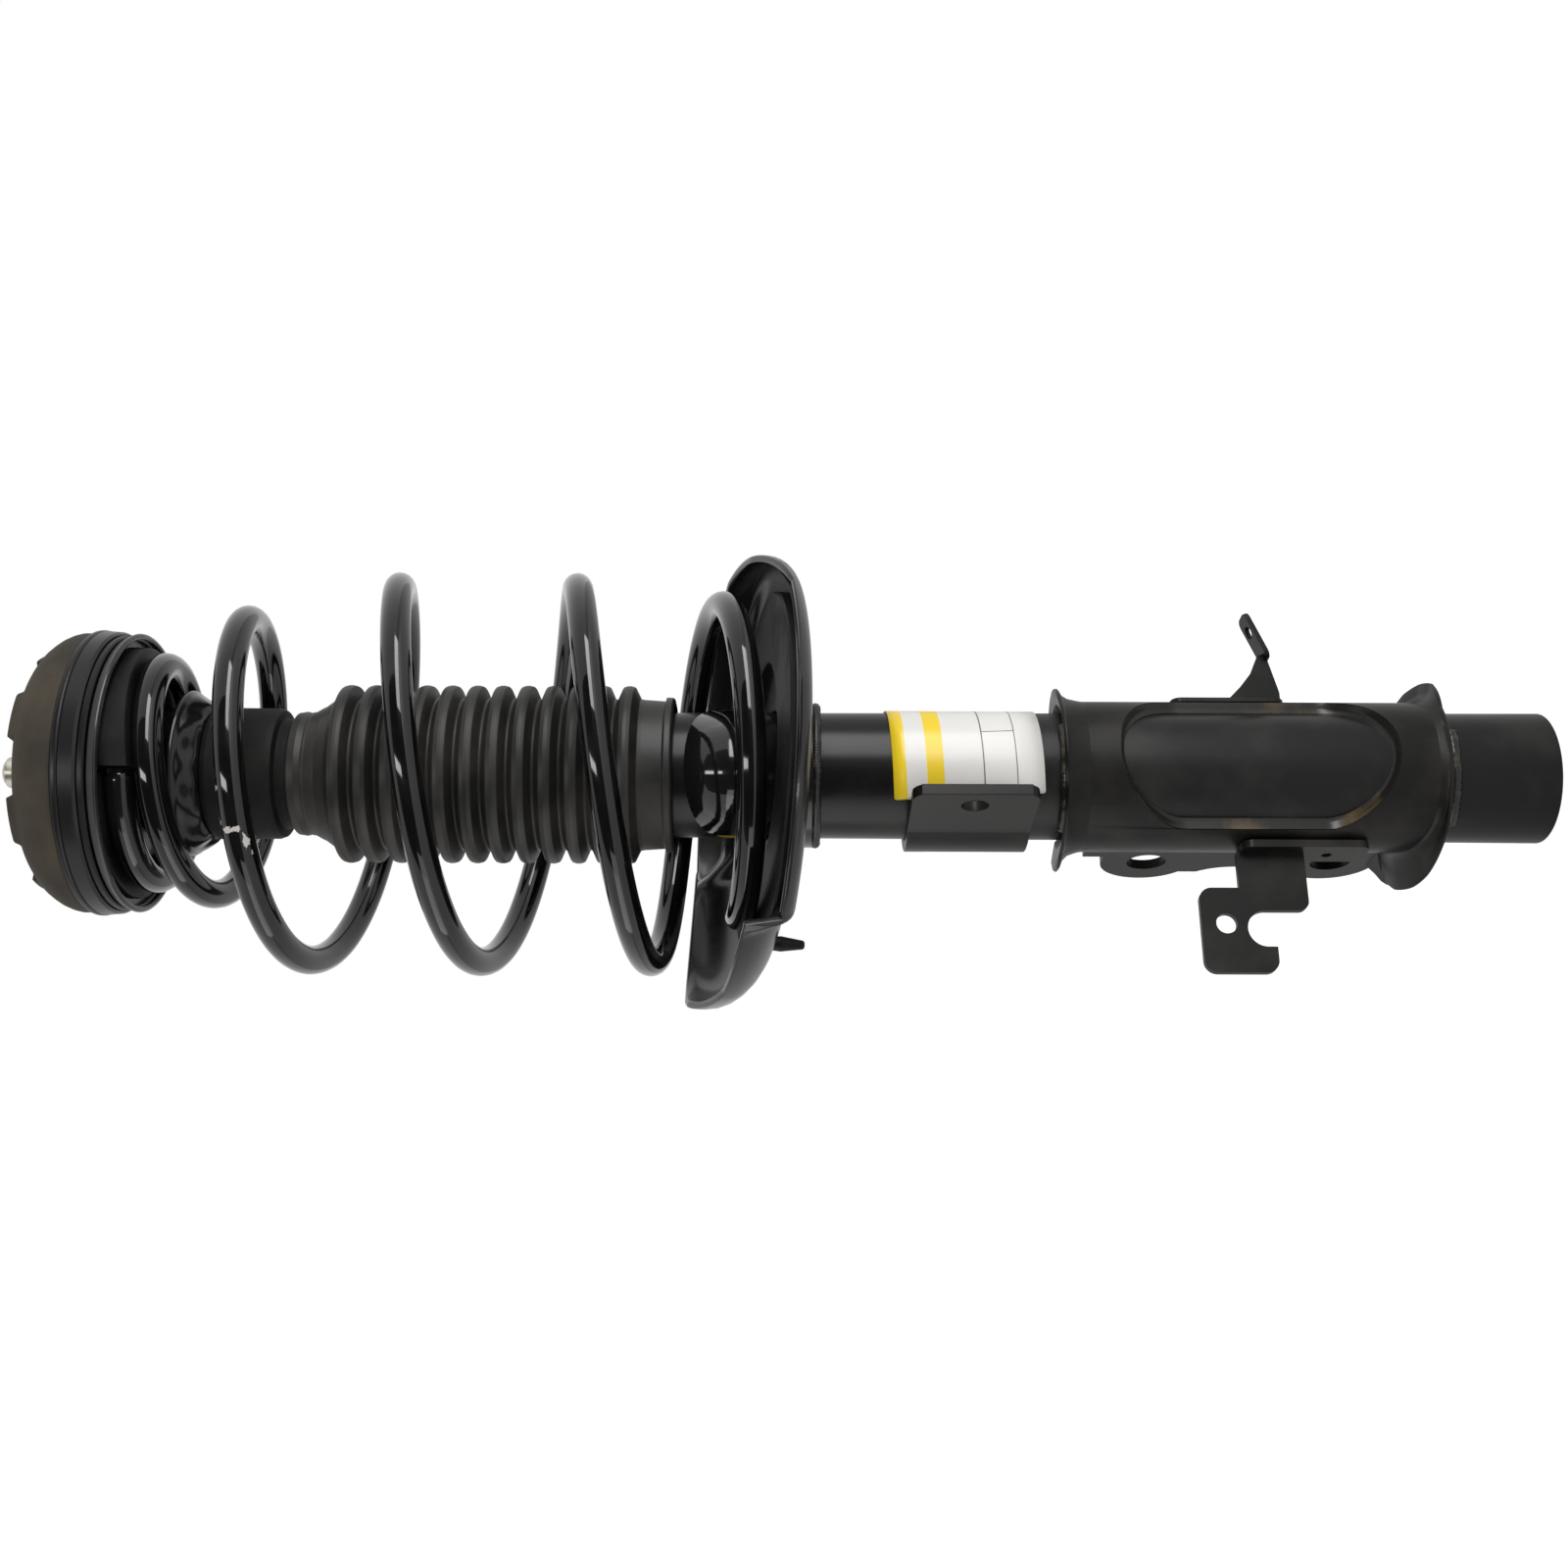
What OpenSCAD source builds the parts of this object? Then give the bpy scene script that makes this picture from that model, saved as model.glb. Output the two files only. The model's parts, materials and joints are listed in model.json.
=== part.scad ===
// MacPherson strut assembly: damper, side seat, coil spring, boot, bump stop,
// bearing and top mount, with the knuckle bracket and three welded brackets.
// Millimetres. Z runs up the strut's axis from the flat base of the damper tube.
// +Y points from the axis to the knuckle, and the knuckle bolts lie along X.

/* [Damper tube] */
// Outer radius of the damper tube
tube_r = 25.5; // [24.5:0.25:26.5]
// Wall of the damper tube
tube_wall = 2.2; // [1.6:0.2:3]
// Length of the damper tube above the spring seat
tube_above = 54.5; // [50:0.5:64]
// Height of the base cap inside the tube
base_cap_h = 5; // [4:0.5:8]
// Radius of the rounded lower edge of the tube
tube_edge_r = 1.6; // [0.8:0.2:1.6]
// Wall of the striker cap on the tube's upper end
cap_wall = 1.8; // [1.4:0.1:2.4]
// Length of the striker cap's skirt
cap_skirt = 12; // [8:1:14]
// Thickness of the striker cap's top
cap_top = 3; // [2:0.5:5]

/* [Damper inner parts] */
// Radius of the bore that the piston runs in
bore_r = 15; // [14:0.5:17]
// Wall of the pressure tube
cylinder_wall = 1.4; // [1:0.2:2]
// Height of the base valve below the pressure tube
base_valve_h = 9; // [6:1:14]
// Radius of the piston rod
rod_r = 10; // [9:0.5:10.5]
// Radius of the threaded ends of the piston rod
thread_r = 6; // [5:0.5:7]
// Height of the rod guide's flange
guide_h = 8; // [6:1:12]
// Depth of the rod guide's spigot in the pressure tube
guide_spigot = 8; // [5:1:12]
// Height of the rod seal
seal_h = 6; // [4:0.5:6.5]
// Height of the rebound stop on the rod
rebound_h = 12; // [8:1:18]
// Height of the piston
piston_h = 18; // [14:1:24]
// Height of the sealing ring round the piston
piston_ring_h = 9; // [6:1:11]
// Height of the nut under the piston
piston_nut_h = 8; // [6:1:10]

/* [Coil spring] */
// Radius of the spring wire
wire_r = 5.6; // [5:0.2:6]
// Radius of the wire's centre line in the small upper coil
top_coil_r = 41.5; // [41:0.5:44]
// Radius of the wire's centre line in the wide middle coils
body_coil_r = 73.5; // [68:0.5:76]
// Radius of the wire's centre line at the lower end
end_coil_r = 55; // [52:0.5:62]
// Number of turns
spring_turns = 5.22; // [5.1:0.02:5.3]
// Height between the centres of the wire's two ends, before the tilt
spring_height = 231.6; // [224:0.2:240]
// Angle of the wire's upper end
spring_start = -113; // [-125:1:-100]

/* [Lower spring seat] */
// Bare length of the tube between the link bracket and the seat's neck
seat_clear = 36; // [26:0.5:42]
// Tilt of the seat, high on the knuckle's side
seat_tilt = 9.3; // [7:0.1:11]
// Radius of the seat's rim
seat_r = 89; // [86:0.5:94]
// Distance of the seat's centre from the strut's axis
seat_shift = 4; // [2:0.5:6]
// Thickness of the seat's sheet
seat_sheet = 3; // [2:0.5:4]
// Radius of the bowl's corner
bowl_r = 11; // [10:1:14]
// Height of the seat's low rim
rim_h = 6; // [4:0.5:8]
// Height of the seat's wall on the knuckle's side
wall_h = 21; // [17:0.5:24]
// Height of the guard's peak on the tyre's side
guard_h = 30; // [27:0.5:34]
// Angle where the guard's wide sweep starts
guard_start = 95; // [88:1:105]
// Angle that the guard spans
guard_span = 118; // [108:1:122]
// Width of the guard's sweep
guard_sweep = 32; // [26:1:34]
// Height of the guard's sweep
guard_lift = 24; // [20:1:26]
// Wall of the seat's neck on the tube
neck_wall = 2.8; // [2.4:0.1:4.4]
// Length of the seat's neck below the seat
neck_drop = 14; // [11:0.5:20]
// Thickness of the rubber insulator under the lowest coil
lower_pad = 4.2; // [3.6:0.1:6]
// Inner radius of the lower insulator
lower_pad_in = 44; // [40:1:48]
// Gap between the lower insulator and the bowl's corner
lower_pad_gap = 2.5; // [1:0.5:4]
// Radius of the rubber nubs that hold the lower insulator
nub_r = 2.7; // [2:0.1:4]
// Length of the nubs below the seat
nub_length = 12; // [6:1:14]
// Distance of the nubs from the seat's edge
nub_inset = 22; // [21:0.5:25]

/* [Knuckle bracket] */
// Thickness of the knuckle bracket's plate
bracket_plate = 4; // [3:0.5:5]
// Height of the bracket's lower end
bracket_low = 43; // [38:1:50]
// Length of the bracket along the tube
bracket_length = 138; // [132:1:146]
// Gap between the two ears, which the knuckle fits
ear_gap = 32; // [28:1:36]
// Distance from the strut's axis to the knuckle bolts
bolt_reach = 42; // [38:1:48]
// Distance from the bracket's lower end to the lower knuckle bolt
bolt_inset = 29.6; // [24:0.2:34]
// Spacing of the two knuckle bolts
bolt_spacing = 75.4; // [66:0.2:80]
// Radius of the knuckle bolt holes
bolt_hole_r = 8; // [6:0.5:9]
// Radius of the ear round each bolt hole
ear_lobe_r = 18.7; // [16:0.1:20]
// Distance from the strut's axis to the waist between the bolts
ear_waist = 47; // [44:1:50]
// Distance from the bracket's lower end to the window
window_inset = 19.6; // [14:0.2:26]
// Distance from the window to the bracket's upper end
window_top_inset = 12; // [9:0.5:24]
// Half width of the window
window_half = 27; // [22:0.5:27]
// Radius of the window's corners
window_corner = 26; // [16:1:26.5]
// Reach of the flared lips beyond the bracket's wrap
flare_reach = 8.6; // [6:0.2:10]

/* [Small brackets] */
// Bare length of the tube between the knuckle bracket and the link bracket
link_gap = 21.5; // [12:0.5:30]
// Width of the sway bar link bracket along the strut
link_w = 47; // [40:1:52]
// Thickness of the sway bar link bracket
link_plate = 4.2; // [3:0.1:5]
// Reach of the link bracket's flange from the strut's axis
link_reach = 48; // [44:1:54]
// Distance from the strut's axis to the link stud hole
link_hole_reach = 37; // [34:0.5:39]
// Radius of the link stud hole
link_hole_r = 5.15; // [4:0.05:6]
// Thickness of the brake hose bracket
hose_plate = 3; // [2:0.5:4]
// Distance from the knuckle bracket's lower end to the brake hose slot
hose_slot_rise = 70; // [62:0.5:78]
// Distance from the strut's axis to the middle of the brake hose slot
hose_slot_x = 63.2; // [61:0.2:68]
// Radius of the brake hose slot
hose_slot_r = 7.2; // [5.6:0.2:8]
// Radius of the small hole beside the hose slot
hose_hole_r = 4; // [2.5:0.5:4.5]
// Width of the hose bracket round its slot
hose_head_w = 28.3; // [25:0.1:34]
// Reach of the hose bracket beyond the middle of its slot
hose_head_reach = 17.5; // [14:0.5:22]
// Width of the hose bracket at its root
hose_root_w = 26.2; // [22:0.2:34]
// Length of the hose bracket's foot
hose_foot_l = 49; // [40:1:56]
// Thickness of the sensor wire bracket
sensor_plate = 2; // [1.5:0.5:3]
// Distance from the knuckle bracket's lower end to the sensor wire bracket
sensor_rise = 55; // [48:1:64]
// Reach of the sensor wire bracket's web from the knuckle bracket
sensor_reach = 24; // [20:1:30]
// Width of the sensor wire bracket at its root
sensor_root_w = 26; // [20:1:32]
// Length of the sensor wire bracket's foot
sensor_foot_l = 45; // [36:1:54]
// Length of the folded tongue that holds the wire's clip
tongue_l = 21.6; // [18:0.2:26]
// Width of the tongue
tongue_w = 10; // [8:0.5:14]
// Angle of the tongue
tongue_tilt = 21.5; // [14:0.5:26]
// Radius of the clip's hole in the tongue
sensor_hole_r = 2.6; // [1.5:0.1:3]

/* [Boot and bump stop] */
// Depth of the boot's ribs
rib_depth = 5.1; // [3.5:0.1:6]
// Gap between the boot's ribs and the striker cap
rib_clear = 1.2; // [0.8:0.1:2]
// Number of ribs on the boot
rib_count = 12; // [10:1:13]
// Wall of the boot
boot_wall = 1.5; // [1:0.1:1.9]
// Length of the boot's smooth neck
boot_neck = 15.7; // [12:0.1:24]
// Length of the boot's collar on the striker cap
boot_collar = 12.4; // [10:0.2:14]
// Distance from the striker cap's top down to the boot's lower end
boot_grip = 17; // [14:0.5:20]
// Outer radius of the bump stop's head
bump_r = 26.1; // [24.5:0.1:27]
// Length of the bump stop's visible head
bump_head = 26.8; // [20:0.1:30]
// Length of the groove that holds the boot
bump_groove = 9.7; // [9:0.1:11]
// Gap in the groove above the boot's bead
boot_play = 5.5; // [2:0.5:6]
// Depth of the groove that holds the boot
bump_groove_depth = 4.6; // [3.5:0.1:5.5]
// Length of the bump stop's working part inside the boot
bump_nose = 31; // [28:0.5:36]
// Radius of the bump stop's tip
bump_tip_r = 16.5; // [15:0.5:20]
// Radius of the cup's rim above the bump stop
cup_r = 32.5; // [30:0.1:33.5]
// Height of the cup from its rim to the spring seat
cup_neck = 15; // [12:0.5:18]
// Height of the cup's tapered side
cup_side = 9.5; // [8:0.5:12]
// Radius of the cup's throat under the spring seat
cup_throat_r = 24; // [22:0.5:26]
// Number of flutes round the cup
flute_count = 10; // [8:1:12]

/* [Upper seat and bearing] */
// Outer radius of the upper spring seat
upper_seat_r = 54.6; // [53:0.1:56]
// Thickness of the upper spring seat's sheet
upper_sheet = 1.8; // [1.4:0.1:2.4]
// Depth of the upper seat's dish
dish_depth = 7; // [6:0.5:8]
// Outer radius of the upper seat's dish
dish_r = 34.4; // [32.5:0.1:34.8]
// Depth of the upper seat's rolled rim
roll_depth = 2.8; // [2:0.2:4]
// Thickness of the upper insulator over the top coil
upper_pad = 1; // [0.6:0.2:2]
// Gap between the upper insulator and the upper seat's rolled rim
upper_pad_gap = 3.3; // [2:0.1:5]
// Thickness of the bearing's lower flange
lower_race_t = 2.2; // [1.6:0.2:3]
// Thickness of the bearing's upper housing
upper_race_t = 6; // [5:0.2:8]
// Radius of the circle of bearing balls
ball_circle_r = 24; // [22:0.5:26]
// Radius of the bearing balls
ball_r = 2.5; // [2:0.1:2.8]
// Number of bearing balls
ball_count = 20; // [16:1:22]

/* [Top mount] */
// Outer radius of the top mount's rubber
mount_r = 54.9; // [52:0.1:56]
// Radius of the top mount's castellated crown
crown_r = 46.4; // [44:0.1:48]
// Height of the top mount's rubber
mount_h = 17.3; // [15:0.1:20]
// Number of teeth on the crown
tooth_count = 7; // [6:1:8]
// Height of the teeth
tooth_h = 2.7; // [2:0.1:4]
// Angle that a tooth spans
tooth_span = 24; // [18:1:28]
// Angle of the first tooth
tooth_start = -97; // [-110:1:-80]
// Reach of the plate under the rubber beyond the upper spring seat
mount_plate_lap = 1.7; // [1.6:0.1:3]
// Thickness of the plate under the rubber
mount_plate_t = 3.2; // [2.4:0.2:4]
// Outer radius of the steel core that the rod nut clamps
core_r = 12; // [11:0.5:13]
// Height of the core above the crown of the rubber's middle
core_rise = 1.6; // [1:0.2:3]
// Thickness of the washer under the rod nut
washer_t = 2.5; // [2:0.5:4]
// Radius of the washer under the rod nut
washer_r = 15; // [13:0.5:16]
// Height of the rod nut
nut_h = 10.5; // [8:0.5:11]
// Height of the rod's end above the teeth
stud_rise = 18; // [16:0.5:24]
// Radius of the rod's plain tip above its thread
tip_r = 5.5; // [4.5:0.1:5.8]
// Height of the thread above the rod nut
thread_rise = 1.5; // [1:0.5:3]

/* [Hidden] */
$fn = 72;

// Clearances
press_gap = 0.1;      // parts pressed or welded together
run_gap = 0.05;       // shafts and sealing rings that run in a bore
soft_gap = 0.3;       // rubber and springs beside their seats
race_gap = 0.4;       // between the two halves of the bearing
eps = 0.01;
past = 1;             // how far a cut runs past the face that it opens

// Heights along the tube, from the base up
bracket_high = bracket_low + bracket_length;
link_z = bracket_high + link_gap + link_w / 2;
neck_low = link_z + link_w / 2 + seat_clear;
seat_height = neck_low + neck_drop;
tube_length = seat_height + tube_above;

// Damper, from the base up
tube_in = tube_r - tube_wall;
cylinder_r = bore_r + cylinder_wall;
cylinder_z = base_cap_h + base_valve_h;
seal_top = tube_length - tube_wall;
seal_z = seal_top - seal_h;
guide_z = seal_z - guide_h;
spigot_z = guide_z - guide_spigot;
rebound_z = spigot_z - rebound_h - soft_gap;
piston_z = rebound_z - piston_h;
piston_r = bore_r - 3 * run_gap;
cap_skirt_r = tube_r + press_gap + cap_wall;
cap_z = tube_length + press_gap;
cap_end = cap_z + cap_top;

// Spring path
steps_per_turn = 24;
spring_sides = 8;
spring_steps = round(spring_turns * steps_per_turn);
coil_gap = soft_gap;
pad_z = seat_height + (seat_sheet + lower_pad) / cos(seat_tilt);
spring_low_z = pad_z + (wire_r + coil_gap) / cos(seat_tilt);
spring_top_z = spring_low_z + spring_height;
// Pitch of the coil, in millimetres a turn, against the turn counted from the top
coil_pitch = [[0, 4], [0.5, 5], [0.75, 14], [0.9, 34], [1.15, 48], [1.35, 32], [1.5, 22],
    [2.25, 64], [3, 68], [3.6, 70], [4, 65], [4.5, 44], [spring_turns, 17]];
grow_from = 0.75;     // turn where the small upper coil starts to widen
grow_turns = 1.42;    // turns that the widening takes
taper_from = 4.25;    // turn where the lower end draws in again
tilt_from = 3.9;      // turn where the coils start to lean with the seat
tilt_turns = 1.3;     // turns that the lean takes
swell = 1.6;          // power of the widening

// Upper stack, from the spring up
pad_under = spring_top_z + wire_r + coil_gap;
flange_z = pad_under + upper_pad;
seat_top = flange_z + upper_sheet;
dish_z = seat_top - dish_depth;
dish_low = dish_z - upper_sheet;
race_top = seat_top + lower_race_t;
upper_race_z = race_top + race_gap;
ball_z = race_top + race_gap / 2;
plate_z = upper_race_z + upper_race_t;
rubber_z = plate_z + mount_plate_t;
crown_z = rubber_z + mount_h;
tooth_z = crown_z + tooth_h;
well_z = crown_z - 5;
core_z = upper_race_z + 4.4;
core_top = well_z + core_rise + 2;
nut_z = core_top + washer_t;
thread_end = nut_z + nut_h + thread_rise;
stud_z = tooth_z + stud_rise;
rod_bore = 14;        // clear radius of the bearing round the rod
ball_track = ball_r + 0.15;
cage_half = 0.6;      // half of the cage's thickness
cage_band = ball_r + 3;

// Bump stop and boot, down from the upper seat
cup_rim_z = dish_low - cup_neck;
bump_top = cup_rim_z - cup_side;
groove_top = bump_top - bump_head;
groove_low = groove_top - bump_groove;
bump_tip_z = groove_low - bump_nose;
groove_r = bump_r - bump_groove_depth;
rib_valley_r = cap_skirt_r + rib_clear + boot_wall;
rib_crest_r = rib_valley_r + rib_depth;
bump_nose_r = rib_valley_r - boot_wall - 5;
spigot_r = 20;
boot_top = groove_top - boot_play;
neck_end = boot_top - boot_neck;
boot_low = cap_end - boot_grip;
collar_top = boot_low + boot_collar;
rib_pitch = (neck_end - collar_top) / rib_count;
collar_r = cap_skirt_r + soft_gap + boot_wall + 0.4;

// Brackets
wrap_in = tube_r + press_gap;
wrap_r = wrap_in + bracket_plate;
ear_in = ear_gap / 2;
ear_out = ear_in + bracket_plate;
bolt_low = bracket_low + bolt_inset;
bolt_high = bolt_low + bolt_spacing;
window_low = bracket_low + window_inset;
window_high = bracket_high - window_top_inset;
hose_slot_z = bracket_low + hose_slot_rise;
sensor_z = bracket_low + sensor_rise;
floor_r = seat_r - guard_sweep + 4;
lower_pad_out = seat_r - bowl_r - lower_pad_gap;
guard_end = guard_start + guard_span;
nub_reach = seat_r - nub_inset;
neck_r = wrap_in + neck_wall;
upper_pad_r = upper_seat_r - upper_sheet - upper_pad_gap;
mount_plate_r = upper_seat_r + mount_plate_lap;
ear_mid = (bolt_low + bolt_high) / 2;

function ease(u) = u <= 0 ? 0 : u >= 1 ? 1 : u * u * (3 - 2 * u);
function part_of(u) = min(1, max(0, u));
function pitch_at(turn) = lookup(turn, coil_pitch);

// Centre line of the spring wire
function plain_radius(turn) = top_coil_r
    + (body_coil_r - top_coil_r) * pow(part_of((turn - grow_from) / grow_turns), swell)
    - (body_coil_r - end_coil_r) * pow(part_of((turn - taper_from) / (spring_turns - taper_from)), swell);
function coil_radius(turn) = (plain_radius(turn - 0.12) + plain_radius(turn - 0.06)
    + plain_radius(turn) + plain_radius(turn + 0.06) + plain_radius(turn + 0.12)) / 5;
function turn_of(step) = step * spring_turns / spring_steps;
sink_steps = [for (i = 0, sum = 0; i <= spring_steps;
    sum = sum + pitch_at(turn_of(i + 0.5)), i = i + 1) sum];
function sink_at(step) = sink_steps[step] * spring_height / sink_steps[spring_steps];
function lean_at(step) = ease((turn_of(step) - tilt_from) / tilt_turns) * tan(seat_tilt);
function angle_at(step) = spring_start - 360 * turn_of(step);
function wire_point(step) =
    let (a = angle_at(step), r = coil_radius(turn_of(step)))
    [r * cos(a), r * sin(a), spring_top_z - sink_at(step) + lean_at(step) * r * sin(a)];
wire_points = [for (i = [0:spring_steps]) wire_point(i)];

function unit(v) = v / norm(v);
function tangent_at(i) = unit(wire_points[min(i + 1, spring_steps)] - wire_points[max(i - 1, 0)]);
function out_at(i) =
    let (a = angle_at(i), t = tangent_at(i), out = [cos(a), sin(a), 0])
    unit(out - (out * t) * t);
function wire_ring(i) =
    let (t = tangent_at(i), out = out_at(i), up = cross(t, out))
    [for (s = [0:spring_sides - 1])
        let (a = 360 * (s + 0.5) / spring_sides)
        wire_points[i] + wire_r * (cos(a) * out + sin(a) * up)];

// Least gap of the wire to itself, between points more than half a turn apart
self_gaps = [for (i = [0:spring_steps], j = [i + steps_per_turn / 2:spring_steps])
    norm(wire_points[i] - wire_points[j])];
echo(spring_least_gap_to_itself_mm = min(self_gaps) - 2 * wire_r);

// A plain ring between two heights
module ring(outer, inner, low, high)
    translate([0, 0, low])
        difference() {
            cylinder(r = outer, h = high - low);
            translate([0, 0, -past]) cylinder(r = inner, h = high - low + 2 * past);
        }

// A turned shape from its half outline
module turned(outline) rotate_extrude() polygon(outline);

// A part of a turned shape
module turned_arc(start, span, outline) rotate([0, 0, start]) rotate_extrude(angle = span) polygon(outline);

// A flat plate that stands across X, drawn in Y and Z
module plate_across_x(x, thick) translate([x, 0, 0]) rotate([90, 0, 90]) linear_extrude(thick) children();

// A flat plate that stands across Y, drawn in X and Z
module plate_across_y(y, thick) translate([0, y, 0]) rotate([90, 0, 0]) linear_extrude(thick) children();

// A rectangle with round corners
module round_box(x0, x1, y0, y1, r) {
    translate([x0 + r, y0]) square([x1 - x0 - 2 * r, y1 - y0]);
    translate([x0, y0 + r]) square([x1 - x0, y1 - y0 - 2 * r]);
    for (x = [x0 + r, x1 - r], y = [y0 + r, y1 - r]) translate([x, y]) circle(r);
}

// A hexagon nut
module hex_nut(flats, bore, low, high)
    translate([0, 0, low])
        difference() {
            cylinder(r = flats / 2 / cos(30), h = high - low, $fn = 6);
            translate([0, 0, -past]) cylinder(r = bore, h = high - low + 2 * past);
        }

// Places its children in the frame of the tilted lower seat
module on_seat() translate([-seat_shift, 0, seat_height]) rotate([seat_tilt, 0, 0]) children();

module strut_tube() color("#1b1a1a")
    turned([
        [tube_in, tube_edge_r], [tube_in + 0.3, tube_edge_r / 2], [tube_r - tube_edge_r, 0],
        [tube_r - tube_edge_r * 0.3, tube_edge_r * 0.3], [tube_r, tube_edge_r],
        [tube_r, tube_length - 1], [tube_r - 1, tube_length],
        [tube_in - 4, tube_length], [tube_in - 4, seal_top + eps], [tube_in, seal_top + eps]]);

module base_cap() color("#1b1a1a")
    turned([[0, 0], [tube_in - press_gap - 1, 0], [tube_in - press_gap, 1],
        [tube_in - press_gap, base_cap_h], [0, base_cap_h]]);

module base_valve() color("#8a8d90")
    difference() {
        turned([[0, base_cap_h], [cylinder_r, base_cap_h], [cylinder_r, cylinder_z],
            [bore_r - press_gap, cylinder_z], [bore_r - press_gap, cylinder_z + 5],
            [0, cylinder_z + 5]]);
        for (a = [0:60:300]) rotate([0, 0, a]) translate([bore_r / 2, 0, base_cap_h + 3])
            cylinder(r = 1.6, h = base_valve_h + 5);
    }

module pressure_tube() color("#9a9da0") ring(cylinder_r, bore_r, cylinder_z, guide_z);

module piston() color("#77787a")
    difference() {
        turned([[thread_r + press_gap, piston_z], [piston_r, piston_z],
            [piston_r, piston_z + (piston_h - piston_ring_h) / 2],
            [piston_r - 1, piston_z + (piston_h - piston_ring_h) / 2],
            [piston_r - 1, piston_z + (piston_h + piston_ring_h) / 2],
            [piston_r, piston_z + (piston_h + piston_ring_h) / 2],
            [piston_r, rebound_z], [thread_r + press_gap, rebound_z]]);
        for (a = [0:45:315]) rotate([0, 0, a])
            translate([(thread_r + piston_r) / 2, 0, piston_z - past])
                cylinder(r = 1.4, h = piston_h + 2 * past);
    }

module piston_ring() color("#c9b896")
    ring(bore_r - run_gap, piston_r - 1 + press_gap / 2,
        piston_z + (piston_h - piston_ring_h) / 2 + run_gap,
        piston_z + (piston_h + piston_ring_h) / 2 - run_gap);

module piston_nut() color("#8f9194")
    hex_nut(3 * thread_r, thread_r + press_gap, piston_z - piston_nut_h, piston_z);

module piston_rod() color("#d9dcdf")
    turned([[0, piston_z - piston_nut_h - 3], [thread_r - 1, piston_z - piston_nut_h - 3],
        [thread_r, piston_z - piston_nut_h - 2], [thread_r, rebound_z], [rod_r, rebound_z],
        [rod_r, core_z], [thread_r, core_z], [thread_r, thread_end], [tip_r, thread_end],
        [tip_r, stud_z - 1.2], [tip_r - 1.2, stud_z], [0, stud_z]]);

module rebound_stop() color("#2c2b2a")
    ring(bore_r - 0.8, rod_r + press_gap, rebound_z, spigot_z - soft_gap);

module rod_guide() color("#7d7f82")
    difference() {
        union() {
            ring(tube_in - press_gap, rod_r + run_gap, guide_z, seal_z);
            ring(bore_r - press_gap, rod_r + run_gap, spigot_z, guide_z + eps);
        }
        for (a = [0:90:270]) rotate([0, 0, a])
            translate([(cylinder_r + tube_in) / 2, 0, guide_z - past])
                cylinder(r = 1.5, h = guide_h + 2 * past);
    }

module rod_seal() color("#242322") ring(tube_in - press_gap, rod_r + run_gap, seal_z, seal_top);

module tube_cap() color("#2a2a2b")
    turned([[rod_r + 1.2, cap_z], [tube_r + press_gap, cap_z],
        [tube_r + press_gap, cap_z - cap_skirt], [cap_skirt_r, cap_z - cap_skirt],
        [cap_skirt_r, cap_end - 1], [cap_skirt_r - 1, cap_end], [rod_r + 1.2, cap_end]]);

// Quarter of an ellipse from the seat's floor up to its wall, on the outer face or, set in by the
// sheet, on the inner one
function bowl_side(reach, lift, inset, first = 0) = [for (i = [first:6])
    [seat_r - reach + (reach - inset) * sin(15 * i), lift - (lift - inset) * cos(15 * i)]];

// Section of the seat's sheet, from its root at a radius to the top of its wall
function bowl_section(reach, lift, high, first, root, low, top) = concat(
    [[root, low]], bowl_side(reach, lift, 0, first), [[seat_r, high - 1], [seat_r - 1, high],
        [seat_r - seat_sheet + 1, high], [seat_r - seat_sheet, high - 1]],
    reversed(bowl_side(reach, lift, seat_sheet, first)), [[root, top]]);

// Cuts the wall down to a line, drawn as seen from outside at an angle
module wall_cut(angle, line) rotate([0, 0, angle])
    rotate([90, 0, 90]) linear_extrude(seat_r + past)
        polygon(concat(line, [[line[len(line) - 1][0], 2 * guard_h], [line[0][0], 2 * guard_h]]));

// The drawn bowl: a low rim towards the coil's end, a wall on the knuckle's side, and the guard,
// which sweeps up to a peak on the tyre's side
module seat_bowl() {
    far = 1.5 * seat_r;
    low_end = 310;
    low_mid = (guard_end + low_end) / 2;
    difference() {
        turned(bowl_section(bowl_r, bowl_r, wall_h, 0, 0, 0, seat_sheet));
        turned_arc(guard_start, guard_span, [[floor_r, -past], [seat_r + past, -past],
            [seat_r + past, wall_h + past], [floor_r, wall_h + past]]);
        translate([0, 0, rim_h]) linear_extrude(2 * guard_h)
            polygon([[0, 0], for (a = [guard_end - 5, low_mid, low_end]) far * [cos(a), sin(a)]]);
        wall_cut(335, [[-0.5 * seat_r, rim_h - 1], [0.035 * seat_r, wall_h - 4.5],
            [0.5 * seat_r, wall_h + 1]]);
    }
    difference() {
        turned_arc(guard_start, guard_span, bowl_section(guard_sweep, guard_lift, guard_h + 1,
            1, floor_r - 3, 1, seat_sheet - 1));
        wall_cut(150, [[-1.1 * seat_r, wall_h - 1], [-0.82 * seat_r, wall_h + 0.5],
            [-0.22 * seat_r, guard_h - 2.5], [0.06 * seat_r, guard_h], [0.16 * seat_r, guard_h],
            [0.56 * seat_r, wall_h], [1.1 * seat_r, wall_h - 3]]);
    }
}

// Places of the nubs that hold the lower insulator
module at_nubs() for (a = [0, 86, 172])
    translate([seat_shift, 0, 0]) rotate([0, 0, a]) translate([nub_reach, 0, 0]) children();

module lower_spring_seat() color("#171616")
    difference() {
        union() {
            on_seat() seat_bowl();
            seat_neck();
        }
        translate([0, 0, neck_low - past]) cylinder(r = wrap_in, h = neck_drop + seat_r);
        on_seat() at_nubs() translate([0, 0, -past])
            cylinder(r = nub_r + press_gap, h = seat_sheet + 3 * past);
    }

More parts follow.
